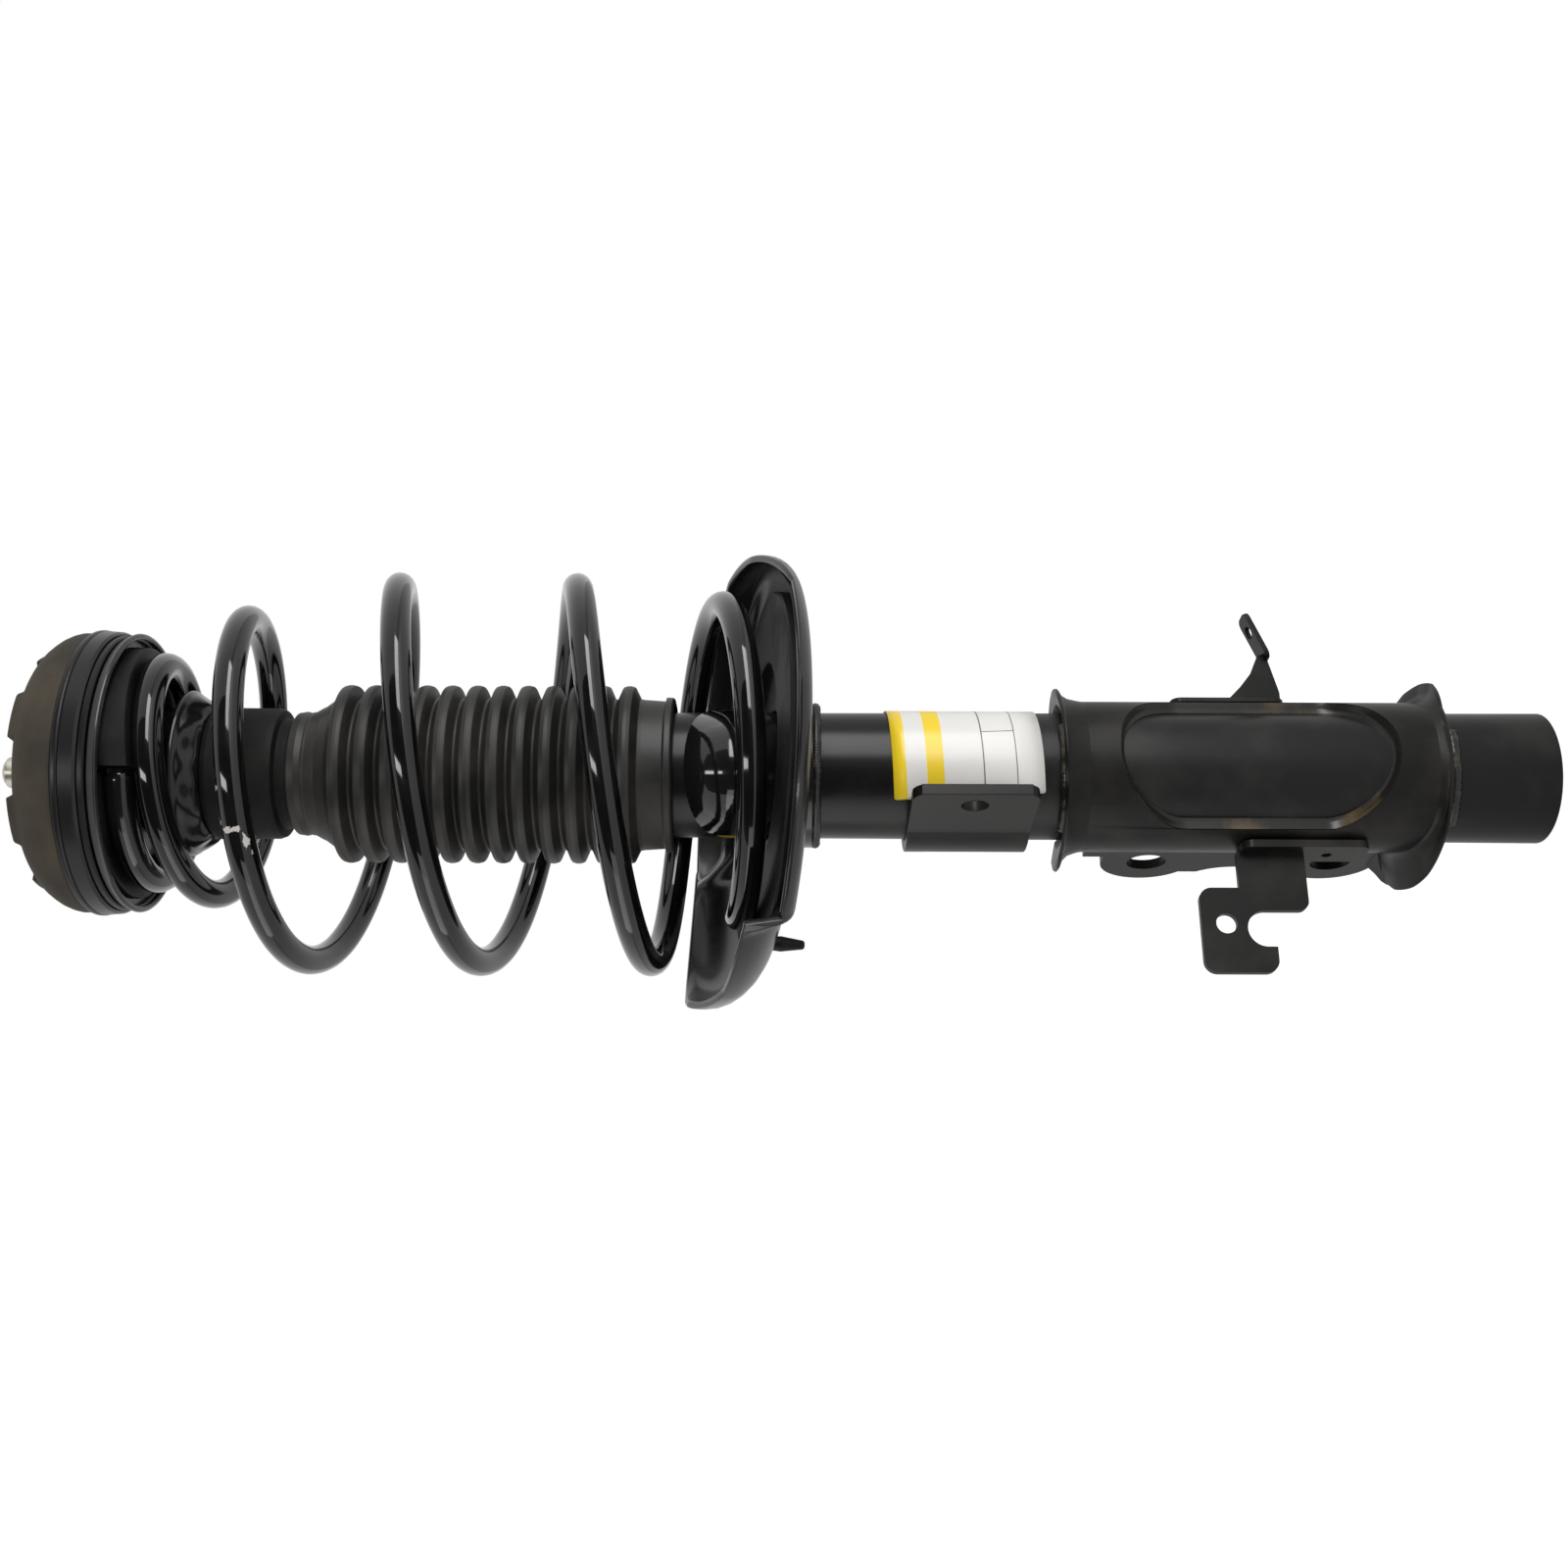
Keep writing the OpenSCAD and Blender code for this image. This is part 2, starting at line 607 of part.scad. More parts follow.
// The seat's neck, which sits on the tube
module seat_neck()
    turned([[wrap_in - 0.2, neck_low], [neck_r, neck_low],
        [neck_r, seat_height - 2], [neck_r + 3, seat_height + 2], [wrap_in - 0.2, seat_height + 2]]);

module seat_weld() color("#201e1d")
    turned([[tube_r + press_gap / 2, neck_low - 3.4], [tube_r + 1.4, neck_low - 2.6],
        [tube_r + 2.2, neck_low - 1.2], [tube_r + 2.4, neck_low], [tube_r + press_gap / 2, neck_low]]);

module lower_insulator() color("#2b2a29")
    on_seat() {
        pad_top = seat_sheet + lower_pad;
        side = bowl_side(guard_sweep, guard_lift, seat_sheet + press_gap);
        difference() {
            translate([0, 0, seat_sheet]) cylinder(r = lower_pad_out, h = lower_pad);
            turned_arc(guard_start, guard_span, [[floor_r - 4, seat_sheet - past], side[1], side[2],
                [side[2][0], pad_top + past], [seat_r, pad_top + past], [seat_r, seat_sheet - past]]);
            translate([seat_shift, 0, 0]) cylinder(r = lower_pad_in, h = 2 * pad_top);
        }
        at_nubs() turned([[0, -nub_length], [nub_r - 1.2, -nub_length], [nub_r, -1],
            [nub_r, seat_sheet + 1.5], [0, seat_sheet + 1.5]]);
    }

module coil_spring() color("#0c0b0b")
    polyhedron(
        points = concat([for (i = [0:spring_steps]) each wire_ring(i)],
            [wire_points[0], wire_points[spring_steps]]),
        faces = concat(
            [for (i = [0:spring_steps - 1], s = [0:spring_sides - 1])
                let (a = i * spring_sides + s, b = i * spring_sides + (s + 1) % spring_sides)
                [a, a + spring_sides, b]],
            [for (i = [0:spring_steps - 1], s = [0:spring_sides - 1])
                let (a = i * spring_sides + s, b = i * spring_sides + (s + 1) % spring_sides)
                [b, a + spring_sides, b + spring_sides]],
            [for (s = [0:spring_sides - 1])
                [s, (s + 1) % spring_sides, (spring_steps + 1) * spring_sides]],
            [for (s = [0:spring_sides - 1])
                [spring_steps * spring_sides + (s + 1) % spring_sides,
                    spring_steps * spring_sides + s, (spring_steps + 1) * spring_sides + 1]]));

// Outline of one ear, in Y and Z
module ear_outline()
    difference() {
        union() {
            translate([0, bracket_low + 6]) square([bolt_reach - 6, bracket_high - bracket_low - 12]);
            translate([bolt_reach - 8, bolt_low]) square([8 + ear_waist - bolt_reach + 6, bolt_spacing]);
            for (z = [bolt_low, bolt_high]) translate([bolt_reach, z]) circle(ear_lobe_r);
        }
        translate([ear_waist + 22, ear_mid]) circle(22);
        for (z = [bolt_low, bolt_high]) translate([bolt_reach, z]) circle(bolt_hole_r);
    }

// Section of a flared lip that leaves a plate's outer face at reach r and height z towards way
function flare_section(r, z, way) = [[r - 1.5, z], [r, z], [r + flare_reach * 0.4, z + way * 3.2],
    [r + flare_reach * 0.8, z + way * 5.6], [r + flare_reach, z + way * 8],
    [r + flare_reach - 1.6, z + way * 10.2], [r + flare_reach - 3.4, z + way * 8.2],
    [r + 1.2, z + way * 6], [r - 1.5, z + way * 4.6]];

module knuckle_bracket() color("#191817")
    difference() {
        union() {
            difference() {
                ring(wrap_r, wrap_in, bracket_low, bracket_high);
                translate([-ear_in, 0, bracket_low - past])
                    cube([ear_gap, wrap_r + past, bracket_high - bracket_low + 2 * past]);
            }
            for (x = [-ear_out, ear_in]) intersection() {
                plate_across_x(x, bracket_plate) ear_outline();
                translate([-wrap_r, sqrt(wrap_in * wrap_in - ear_in * ear_in) - 2, 0])
                    cube([2 * wrap_r, bolt_reach + ear_lobe_r, bracket_high]);
            }
            for (a = [4, 138]) turned_arc(a, 38, flare_section(wrap_r, bracket_high - 2.5, 1));
            for (a = [-30, 138]) turned_arc(a, 72, flare_section(wrap_r, bracket_low + 8.5, -1));
            for (side = [0, 1]) mirror([side, 0, 0])
                plate_across_y(bolt_reach + 3, bolt_reach - ear_in)
                    polygon(flare_section(ear_out, bracket_low + 14, -1));
        }
        plate_across_y(0, 2 * wrap_r)
            round_box(-window_half, window_half, window_low, window_high, window_corner);
        translate([0, 0, bracket_low - wrap_r]) cylinder(r = wrap_in, h = bracket_length + 2 * wrap_r);
    }

// A weld bead along an arc of the tube, which grows from a plate's edge at z towards way
module tube_weld(start, span, z, way) {
    root = tube_r + press_gap / 2;
    leg = bracket_plate - 1.8;
    turned_arc(start, span, [[root, z], [tube_r + leg, z], [tube_r + leg * 0.8, z + way * leg * 0.8],
        [root, z + way * (leg + 0.6)]]);
}

module bracket_welds() color("#3a2f27") {
    side_span = 40;
    window_span = 20;
    for (start = [8, 172 - side_span]) {
        tube_weld(start, side_span, bracket_high, 1);
        tube_weld(start, side_span, bracket_low, -1);
    }
    tube_weld(-90 - window_span / 2, window_span, window_low + soft_gap, 1);
}

module sway_link_bracket() color("#191817") {
    flange_x = wrap_in - 2;
    corner = 6;
    difference() {
        translate([0, 0, link_z - link_w / 2]) linear_extrude(link_w) difference() {
            union() {
                intersection() {
                    circle(wrap_in + link_plate);
                    polygon([[0, 0], [-2 * wrap_r, -0.8 * wrap_r], [-2 * wrap_r, 2 * wrap_r],
                        [-0.8 * wrap_r, 2 * wrap_r]]);
                }
                translate([-flange_x - link_plate, -link_reach]) square([link_plate, link_reach - 6]);
            }
            circle(wrap_in);
        }
        plate_across_x(-2 * wrap_r, 2 * wrap_r) {
            translate([-link_hole_reach, link_z]) circle(link_hole_r);
            for (side = [-1, 1]) difference() {
                translate([-link_reach - past, link_z + side * (link_w + past) / 2 - (corner + past) / 2])
                    square([corner + past, corner + past]);
                translate([corner - link_reach, link_z + side * (link_w / 2 - corner)]) circle(corner);
            }
        }
    }
}

module brake_hose_bracket() color("#191817") {
    root_x = wrap_r + press_gap;
    head_low = hose_slot_z - 3.5;
    root_high = hose_slot_z + 9.1;
    difference() {
        union() {
            plate_across_y(1, hose_plate) {
                round_box(-hose_slot_x - hose_head_reach, -hose_slot_x + 2 * hose_slot_r + 2,
                    head_low, head_low + hose_head_w, 5);
                round_box(-hose_slot_x + hose_slot_r, -root_x, root_high - hose_root_w, root_high, 4);
            }
            plate_across_x(-root_x - hose_plate, hose_plate)
                round_box(-9, 7, root_high - 1.5 - hose_foot_l, root_high - 1.5, 4);
        }
        plate_across_y(2 * hose_plate, 4 * hose_plate) {
            translate([-hose_slot_x, hose_slot_z]) circle(hose_slot_r);
            translate([-hose_slot_x - hose_slot_r, hose_slot_z - hose_head_w])
                square([2 * hose_slot_r, hose_head_w]);
            translate([-hose_slot_x + 2, head_low + hose_head_w - 9.7]) circle(hose_hole_r);
        }
        plate_across_x(-2 * wrap_r, 2 * wrap_r) translate([0, root_high - hose_foot_l + 13.5]) circle(2);
    }
}

// The sensor wire bracket's web narrows from its root to a folded tongue, which holds the wire's clip
module sensor_wire_bracket() color("#191817") {
    foot_x = wrap_r + press_gap;
    tip_x = foot_x + sensor_reach;
    plate_across_y(1, sensor_plate) polygon([[foot_x, sensor_z + sensor_root_w],
        [foot_x + sensor_reach * 0.15, sensor_z + sensor_root_w * 0.82],
        [foot_x + sensor_reach * 0.4, sensor_z + sensor_root_w * 0.6],
        [foot_x + sensor_reach * 0.65, sensor_z + sensor_root_w * 0.42],
        [tip_x, sensor_z + sensor_root_w * 0.28], [tip_x, sensor_z + 4],
        [foot_x + sensor_reach * 0.8, sensor_z + 2.8], [foot_x + sensor_reach * 0.3, sensor_z],
        [foot_x, sensor_z]]);
    plate_across_x(foot_x, sensor_plate) round_box(-7, 9, sensor_z, sensor_z + sensor_foot_l, 4);
    translate([tip_x - 2, 0, sensor_z + 2.8]) rotate([0, -tongue_tilt, 0]) linear_extrude(sensor_plate)
        difference() {
            round_box(0, tongue_l, -tongue_w / 2, tongue_w / 2, 3);
            translate([tongue_l * 0.65, 0]) circle(sensor_hole_r);
        }
}

// Height of rib k's middle on the boot, counted from the top
function rib_z(k) = neck_end - (k + 0.5) * rib_pitch;

// Outline of one side of the bellows, from the neck down to the collar
function bellows(crest, valley) = [for (k = [0:rib_count - 1]) each [
    [valley, rib_z(k) + rib_pitch * 0.42], [crest - 0.5, rib_z(k) + rib_pitch * 0.14], [crest, rib_z(k)],
    [crest - 0.5, rib_z(k) - rib_pitch * 0.14], [valley, rib_z(k) - rib_pitch * 0.42]]];
function reversed(list) = [for (i = [len(list) - 1:-1:0]) list[i]];

module dust_boot() color("#2e2c2a")
    turned(concat(
        [[groove_r + soft_gap, boot_top], [groove_r + 2, boot_top], [bump_r - 1.4, boot_top - 3],
            [bump_r - 0.3, boot_top - 6], [bump_r - 0.3, neck_end + 3]],
        bellows(rib_crest_r, rib_valley_r),
        [[collar_r, collar_top - 1], [collar_r, boot_low + 3], [collar_r + 0.5, boot_low + 2],
            [collar_r + 0.5, boot_low], [cap_skirt_r + soft_gap, boot_low],
            [cap_skirt_r + soft_gap, collar_top - 2]],
        reversed(bellows(rib_crest_r - boot_wall, rib_valley_r - boot_wall)),
        [[bump_r - 0.3 - boot_wall, neck_end + 3], [bump_r - 0.3 - boot_wall, boot_top - 6],
            [groove_r + soft_gap, boot_top - 3]]));

module bump_stop() color("#38332e")
    turned([[rod_r + 1, bump_tip_z], [bump_tip_r - 1, bump_tip_z], [bump_tip_r, bump_tip_z + 1],
        [bump_tip_r, bump_tip_z + 8], [bump_tip_r - 2, bump_tip_z + 11], [bump_tip_r + 1.5, bump_tip_z + 15],
        [bump_nose_r - 0.8, bump_tip_z + 20], [bump_nose_r - 0.8, groove_low - 6],
        [groove_r, groove_low], [groove_r, groove_top - 0.8], [bump_r - 1.4, groove_top],
        [bump_r, groove_top + 1.4], [bump_r, bump_top - 1.8], [bump_r - 1.2, bump_top - 0.2],
        [spigot_r, bump_top - 0.2], [spigot_r, dish_low - 3.6], [rod_r + 1, dish_low - 3.6]]);

module bump_cup() color("#0f0f10")
    difference() {
        turned([[rod_r + 1.5, dish_low - 3.2], [rod_r + 1.5, dish_low], [cup_throat_r, dish_low],
            [cup_throat_r, cup_rim_z + 5], [cup_r - 1.5, cup_rim_z + 2], [cup_r, cup_rim_z],
            [cup_r, cup_rim_z - 2],
            [bump_r + 1.2, bump_top], [spigot_r + soft_gap, bump_top], [spigot_r + soft_gap, dish_low - 3.2]]);
        for (k = [0:flute_count - 1]) rotate([0, 0, 360 * (k + 0.5) / flute_count])
            translate([bump_r + 1.2 + 4.4, 0, bump_top])
                rotate([0, atan2(cup_r - bump_r - 1.2, cup_side - 2), 0])
                    translate([0, 0, -2 * past]) cylinder(r = 5.2, h = 2 * cup_side);
    }

// The pad over the top coil: its underside follows the first turn of the wire,
// and the wire's end stops against the step where the turn closes
module upper_insulator() color("#131313") {
    pad_in = dish_r + soft_gap;
    split = 3;
    turn = steps_per_turn;
    section = [for (i = [0:turn])
        let (a = spring_start - (360 - split) * i / turn,
            low = spring_top_z - sink_at(i) + wire_r + coil_gap)
        each [[pad_in, low], [upper_pad_r - (i > 0 ? 1 : 0), low], [upper_pad_r, flange_z],
            [pad_in, flange_z]] * [[cos(a), sin(a), 0], [0, 0, 1]]];
    polyhedron(points = section, faces = concat(
        [for (i = [0:turn - 1], s = [0:3])
            [4 * i + s, 4 * i + (s + 1) % 4, 4 * i + 4 + s]],
        [for (i = [0:turn - 1], s = [0:3])
            [4 * i + (s + 1) % 4, 4 * i + 4 + (s + 1) % 4, 4 * i + 4 + s]],
        [[0, 2, 1], [0, 3, 2], [4 * turn, 4 * turn + 1, 4 * turn + 2],
            [4 * turn, 4 * turn + 2, 4 * turn + 3]]));
}

module upper_spring_seat() color("#4b4b4c")
    turned([[rod_bore, dish_low], [dish_r, dish_low], [dish_r, flange_z],
        [upper_seat_r - upper_sheet, flange_z], [upper_seat_r - upper_sheet, flange_z - roll_depth],
        [upper_seat_r - 0.5, flange_z - roll_depth],
        [upper_seat_r, flange_z - roll_depth + 1], [upper_seat_r, seat_top - 1], [upper_seat_r - 1, seat_top],
        [dish_r - upper_sheet, seat_top], [dish_r - upper_sheet, dish_z], [rod_bore, dish_z]]);

// The track that the balls run in
module ball_groove() rotate_extrude() translate([ball_circle_r, ball_z]) circle(ball_track);

module bearing_lower_race() color("#1d1d1e")
    difference() {
        turned([[rod_bore, dish_z], [dish_r - upper_sheet - press_gap, dish_z],
            [dish_r - upper_sheet - press_gap, seat_top], [upper_seat_r - 1.2, seat_top],
            [upper_seat_r - 0.6, seat_top + 0.6], [upper_seat_r - 0.6, race_top],
            [ball_circle_r + cage_band, race_top], [ball_circle_r + cage_band, ball_z - cage_half - race_gap / 2],
            [ball_circle_r - cage_band, ball_z - cage_half - race_gap / 2],
            [ball_circle_r - cage_band, race_top], [rod_bore, race_top]]);
        ball_groove();
    }

module bearing_cage() color("#e4dfd2")
    difference() {
        ring(ball_circle_r + cage_band - 0.5, ball_circle_r - cage_band + 0.5,
            ball_z - cage_half, ball_z + cage_half);
        for (k = [0:ball_count - 1]) rotate([0, 0, 360 * k / ball_count])
            translate([ball_circle_r, 0, ball_z - past]) cylinder(r = ball_r + 0.05, h = 2 * past);
    }

module bearing_balls() color("#c8ccd0")
    for (k = [0:ball_count - 1]) rotate([0, 0, 360 * k / ball_count])
        translate([ball_circle_r, 0, ball_z]) sphere(ball_r, $fn = 32);

module bearing_upper_race() color("#595959")
    difference() {
        turned([[rod_bore, upper_race_z], [ball_circle_r - cage_band, upper_race_z],
            [ball_circle_r - cage_band, ball_z + cage_half + race_gap / 2],
            [ball_circle_r + cage_band, ball_z + cage_half + race_gap / 2],
            [ball_circle_r + cage_band, upper_race_z], [upper_seat_r, upper_race_z],
            [upper_seat_r + 0.8, upper_race_z + 1], [upper_seat_r + 1.2, plate_z], [rod_bore, plate_z]]);
        ball_groove();
    }

module mount_plate() color("#161616")
    turned([[rod_bore, plate_z], [mount_plate_r - 0.8, plate_z], [mount_plate_r, plate_z + 0.8],
        [mount_plate_r, rubber_z - 0.8], [mount_plate_r - 0.8, rubber_z], [rod_bore, rubber_z]]);

module mount_rubber() color("#57514a") {
    turned([[core_r + press_gap, rubber_z], [mount_r - 0.6, rubber_z], [mount_r, rubber_z + 0.6],
        [mount_r, rubber_z + mount_h * 0.3], [mount_r - 1.6, rubber_z + mount_h * 0.57],
        [(mount_r + crown_r) / 2 - 0.3, rubber_z + mount_h * 0.82], [crown_r, crown_z],
        [crown_r - 13, crown_z], [crown_r - 16, well_z], [core_r + press_gap, well_z]]);
    for (k = [0:tooth_count - 1])
        turned_arc(tooth_start - 360 * k / tooth_count, tooth_span, [[crown_r - 9, crown_z - 0.5],
            [crown_r - 0.2, crown_z - 0.5], [crown_r - 0.4, tooth_z - 0.6], [crown_r - 1, tooth_z],
            [crown_r - 9, tooth_z]]);
}

module mount_core() color("#6f7173") ring(core_r, thread_r + press_gap, core_z, core_top);

module rod_washer() color("#8b8d8f") ring(washer_r, thread_r + press_gap, core_top, nut_z);

module rod_nut() color("#a8a57f") hex_nut(3 * thread_r, thread_r + press_gap, nut_z, nut_z + nut_h);

strut_tube();
base_cap();
base_valve();
pressure_tube();
piston();
piston_ring();
piston_nut();
piston_rod();
rebound_stop();
rod_guide();
rod_seal();
tube_cap();
lower_spring_seat();
seat_weld();
lower_insulator();
coil_spring();
knuckle_bracket();
bracket_welds();
sway_link_bracket();
brake_hose_bracket();
sensor_wire_bracket();
dust_boot();
bump_stop();
bump_cup();
upper_insulator();
upper_spring_seat();
bearing_lower_race();
bearing_cage();
bearing_balls();
bearing_upper_race();
mount_plate();
mount_rubber();
mount_core();
rod_washer();
rod_nut();
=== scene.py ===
# %% [markdown]
# # A front strut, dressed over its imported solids
# A strut carries one corner of a car. A damper tube, a tilted spring seat and welded brackets make the
# lower half. A rod, a bearing and a rubber mount make the upper half, and a coil spring and a ribbed
# boot join them. The frame brings those solids at their real size, and this lesson makes the surfaces
# that a camera sees: turned rings, pressed plates, a swept wire, weld beads, labels and finishes.

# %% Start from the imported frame
import json
import math
import bmesh
import bpy
from mathutils import Matrix, Vector
from mathutils.noise import noise as smooth_noise


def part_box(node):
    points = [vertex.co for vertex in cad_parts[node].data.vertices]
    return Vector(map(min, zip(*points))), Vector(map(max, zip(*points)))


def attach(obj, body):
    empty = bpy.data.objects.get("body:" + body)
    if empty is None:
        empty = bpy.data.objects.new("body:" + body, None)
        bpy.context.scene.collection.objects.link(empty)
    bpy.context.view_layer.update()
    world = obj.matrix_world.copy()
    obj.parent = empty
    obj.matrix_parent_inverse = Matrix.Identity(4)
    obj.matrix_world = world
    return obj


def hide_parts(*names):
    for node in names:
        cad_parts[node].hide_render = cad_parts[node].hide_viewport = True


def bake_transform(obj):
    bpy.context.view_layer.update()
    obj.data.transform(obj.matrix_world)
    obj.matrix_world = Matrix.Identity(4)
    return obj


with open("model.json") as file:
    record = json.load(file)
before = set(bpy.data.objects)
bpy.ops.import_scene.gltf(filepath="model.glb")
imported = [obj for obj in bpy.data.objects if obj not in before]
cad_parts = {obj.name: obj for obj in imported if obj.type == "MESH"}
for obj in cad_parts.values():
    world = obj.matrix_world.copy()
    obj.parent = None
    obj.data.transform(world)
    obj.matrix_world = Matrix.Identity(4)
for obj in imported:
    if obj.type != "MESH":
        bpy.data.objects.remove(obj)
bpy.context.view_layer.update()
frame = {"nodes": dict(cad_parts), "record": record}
MM = 0.001
MERGE = 0.000004


def new_object(name, data):
    made = bpy.data.objects.new(name, data)
    bpy.context.collection.objects.link(made)
    return made


# %% [markdown]
# ## The camera
# The strut stands on its base in the frame, and is seen lying down with its mount to the left. So the
# camera looks across the axis and is rolled until the axis runs across the picture. Its axes are set
# as the columns of a matrix, which is plainer than three angles when two directions are already known.

# %% Camera beside the strut
strut_up = Vector((0.9205, -0.3907, 0.0))        # the direction that is up in the picture
towards_camera = Vector((-0.3907, -0.9205, 0.0))
camera_distance = 0.734
camera_height = 0.2968
camera_drop = 0.0033
camera_roll = 0.0039

camera_data = bpy.data.cameras.new("camera")
camera_data.sensor_width = 36
camera_data.lens = 42.75
camera_data.clip_start = 0.05
camera = new_object("camera", camera_data)
view_middle = Vector((0, 0, camera_height))
across = Vector((0, 0, -1)) + strut_up * camera_roll
above = strut_up + Vector((0, 0, 1)) * camera_roll
view_turn = Matrix((across, above, towards_camera)).transposed().to_4x4()
place = view_middle + towards_camera * camera_distance - strut_up * camera_drop
camera.matrix_world = Matrix.Translation(place) @ view_turn
bpy.context.scene.camera = camera
print("camera at", [round(v, 3) for v in camera.location])

# %% [markdown]
# ## Light and floor
# Black paint shows its form by what it mirrors. A large soft lamp above and one below draw the light
# bands along the tube, a narrow one near the mount draws the thin lines on the coils, and a dark card
# behind the camera keeps the front of the gloss paint black. Only mirrored rays see the card. The world
# is white to the camera, a little darker to mirrored rays, and a plain level of light to all others.

# %% World, lamps, card and floor
def ray_level(tree, seen, mirrored, plain):
    """A brightness for each kind of ray: straight from the camera, mirrored by gloss, or any other."""
    paths = tree.nodes.new("ShaderNodeLightPath")
    level = None
    for kind, value in (("Is Camera Ray", seen), ("Is Transmission Ray", seen), ("Is Glossy Ray", mirrored)):
        step = tree.nodes.new("ShaderNodeMath")
        step.operation = "MULTIPLY_ADD"
        tree.links.new(paths.outputs[kind], step.inputs[0])
        step.inputs[1].default_value = value - plain
        step.inputs[2].default_value = plain
        if level:
            tree.links.new(level, step.inputs[2])
        level = step.outputs[0]
    return level


world = bpy.data.worlds.new("studio")
bpy.context.scene.world = world
world.use_nodes = True
nodes, links = world.node_tree.nodes, world.node_tree.links
nodes.clear()
background = nodes.new("ShaderNodeBackground")
background.inputs["Color"].default_value = (1, 1, 1, 1)
links.new(ray_level(world.node_tree, 1.0, 0.7, 0.4), background.inputs["Strength"])
out = nodes.new("ShaderNodeOutputWorld")
links.new(background.outputs[0], out.inputs["Surface"])


def soft_lamp(name, direction, distance, width, height, power):
    """A rectangular lamp that faces the middle of the strut."""
    data = bpy.data.lights.new(name, "AREA")
    data.shape = "RECTANGLE"
    data.size, data.size_y, data.energy = width, height, power
    lamp = new_object(name, data)
    lamp.location = view_middle + direction.normalized() * distance
    lamp.rotation_mode = "QUATERNION"
    lamp.rotation_quaternion = direction.to_track_quat("Z", "Y")


def flat_face(name, half_width, half_height, finish_name):
    """A flat face for the stage, and the node tree of its material."""
    bm = bmesh.new()
    bmesh.ops.create_grid(bm, x_segments=1, y_segments=1, size=1.0)
    bmesh.ops.scale(bm, vec=(half_width, half_height, 1), verts=bm.verts)
    mesh = bpy.data.meshes.new(name)
    bm.to_mesh(mesh)
    bm.free()
    material = bpy.data.materials.new(finish_name)
    material.use_nodes = True
    mesh.materials.append(material)
    return new_object(name, mesh), material.node_tree


to_mount = Vector((0, 0, 1))
soft_lamp("lamp_above", strut_up + towards_camera * 0.7, 1.3, 1.3, 0.45, 12)
soft_lamp("lamp_below", -strut_up + towards_camera * 0.4, 1.3, 1.3, 0.7, 4)
soft_lamp("lamp_mount_end", to_mount + towards_camera * 1.3, 1.2, 0.12, 1.0, 3)

card_distance = 1.1
card, card_tree = flat_face("dark_card", 2.4, 1.6, "card_black")
card.matrix_world = Matrix.Translation(view_middle + towards_camera * card_distance) @ view_turn
card.visible_camera = card.visible_diffuse = card.visible_shadow = False
card_tree.nodes["Principled BSDF"].inputs["Base Color"].default_value = (0.02, 0.02, 0.02, 1)

floor, floor_tree = flat_face("floor", 3.0, 3.0, "floor_white")
nodes, links = floor_tree.nodes, floor_tree.links
diffuse = nodes["Principled BSDF"]
diffuse.inputs["Base Color"].default_value = (0.8, 0.8, 0.8, 1)
diffuse.inputs["Roughness"].default_value = 0.9
glow = nodes.new("ShaderNodeEmission")
glow.inputs["Color"].default_value = (1, 1, 1, 1)
links.new(ray_level(floor_tree, 0.75, 0.1, 0.0), glow.inputs["Strength"])
both = nodes.new("ShaderNodeAddShader")
links.new(diffuse.outputs[0], both.inputs[0])
links.new(glow.outputs[0], both.inputs[1])
links.new(both.outputs[0], nodes["Material Output"].inputs["Surface"])
bpy.context.scene.view_settings.view_transform = "Standard"
print("lamps", len(bpy.data.lights))

# %% [markdown]
# ## Finishes
# Paint, rubber and plastic differ in three things: how dark they are, how sharply they mirror, and how
# fine their texture is. One function builds them all from noise on Object coordinates: a slow noise
# lays dust and handling marks over the base colour and dulls the gloss there, and finer ones make the
# bumps. A separate material for each by hand would repeat the same nodes many times.

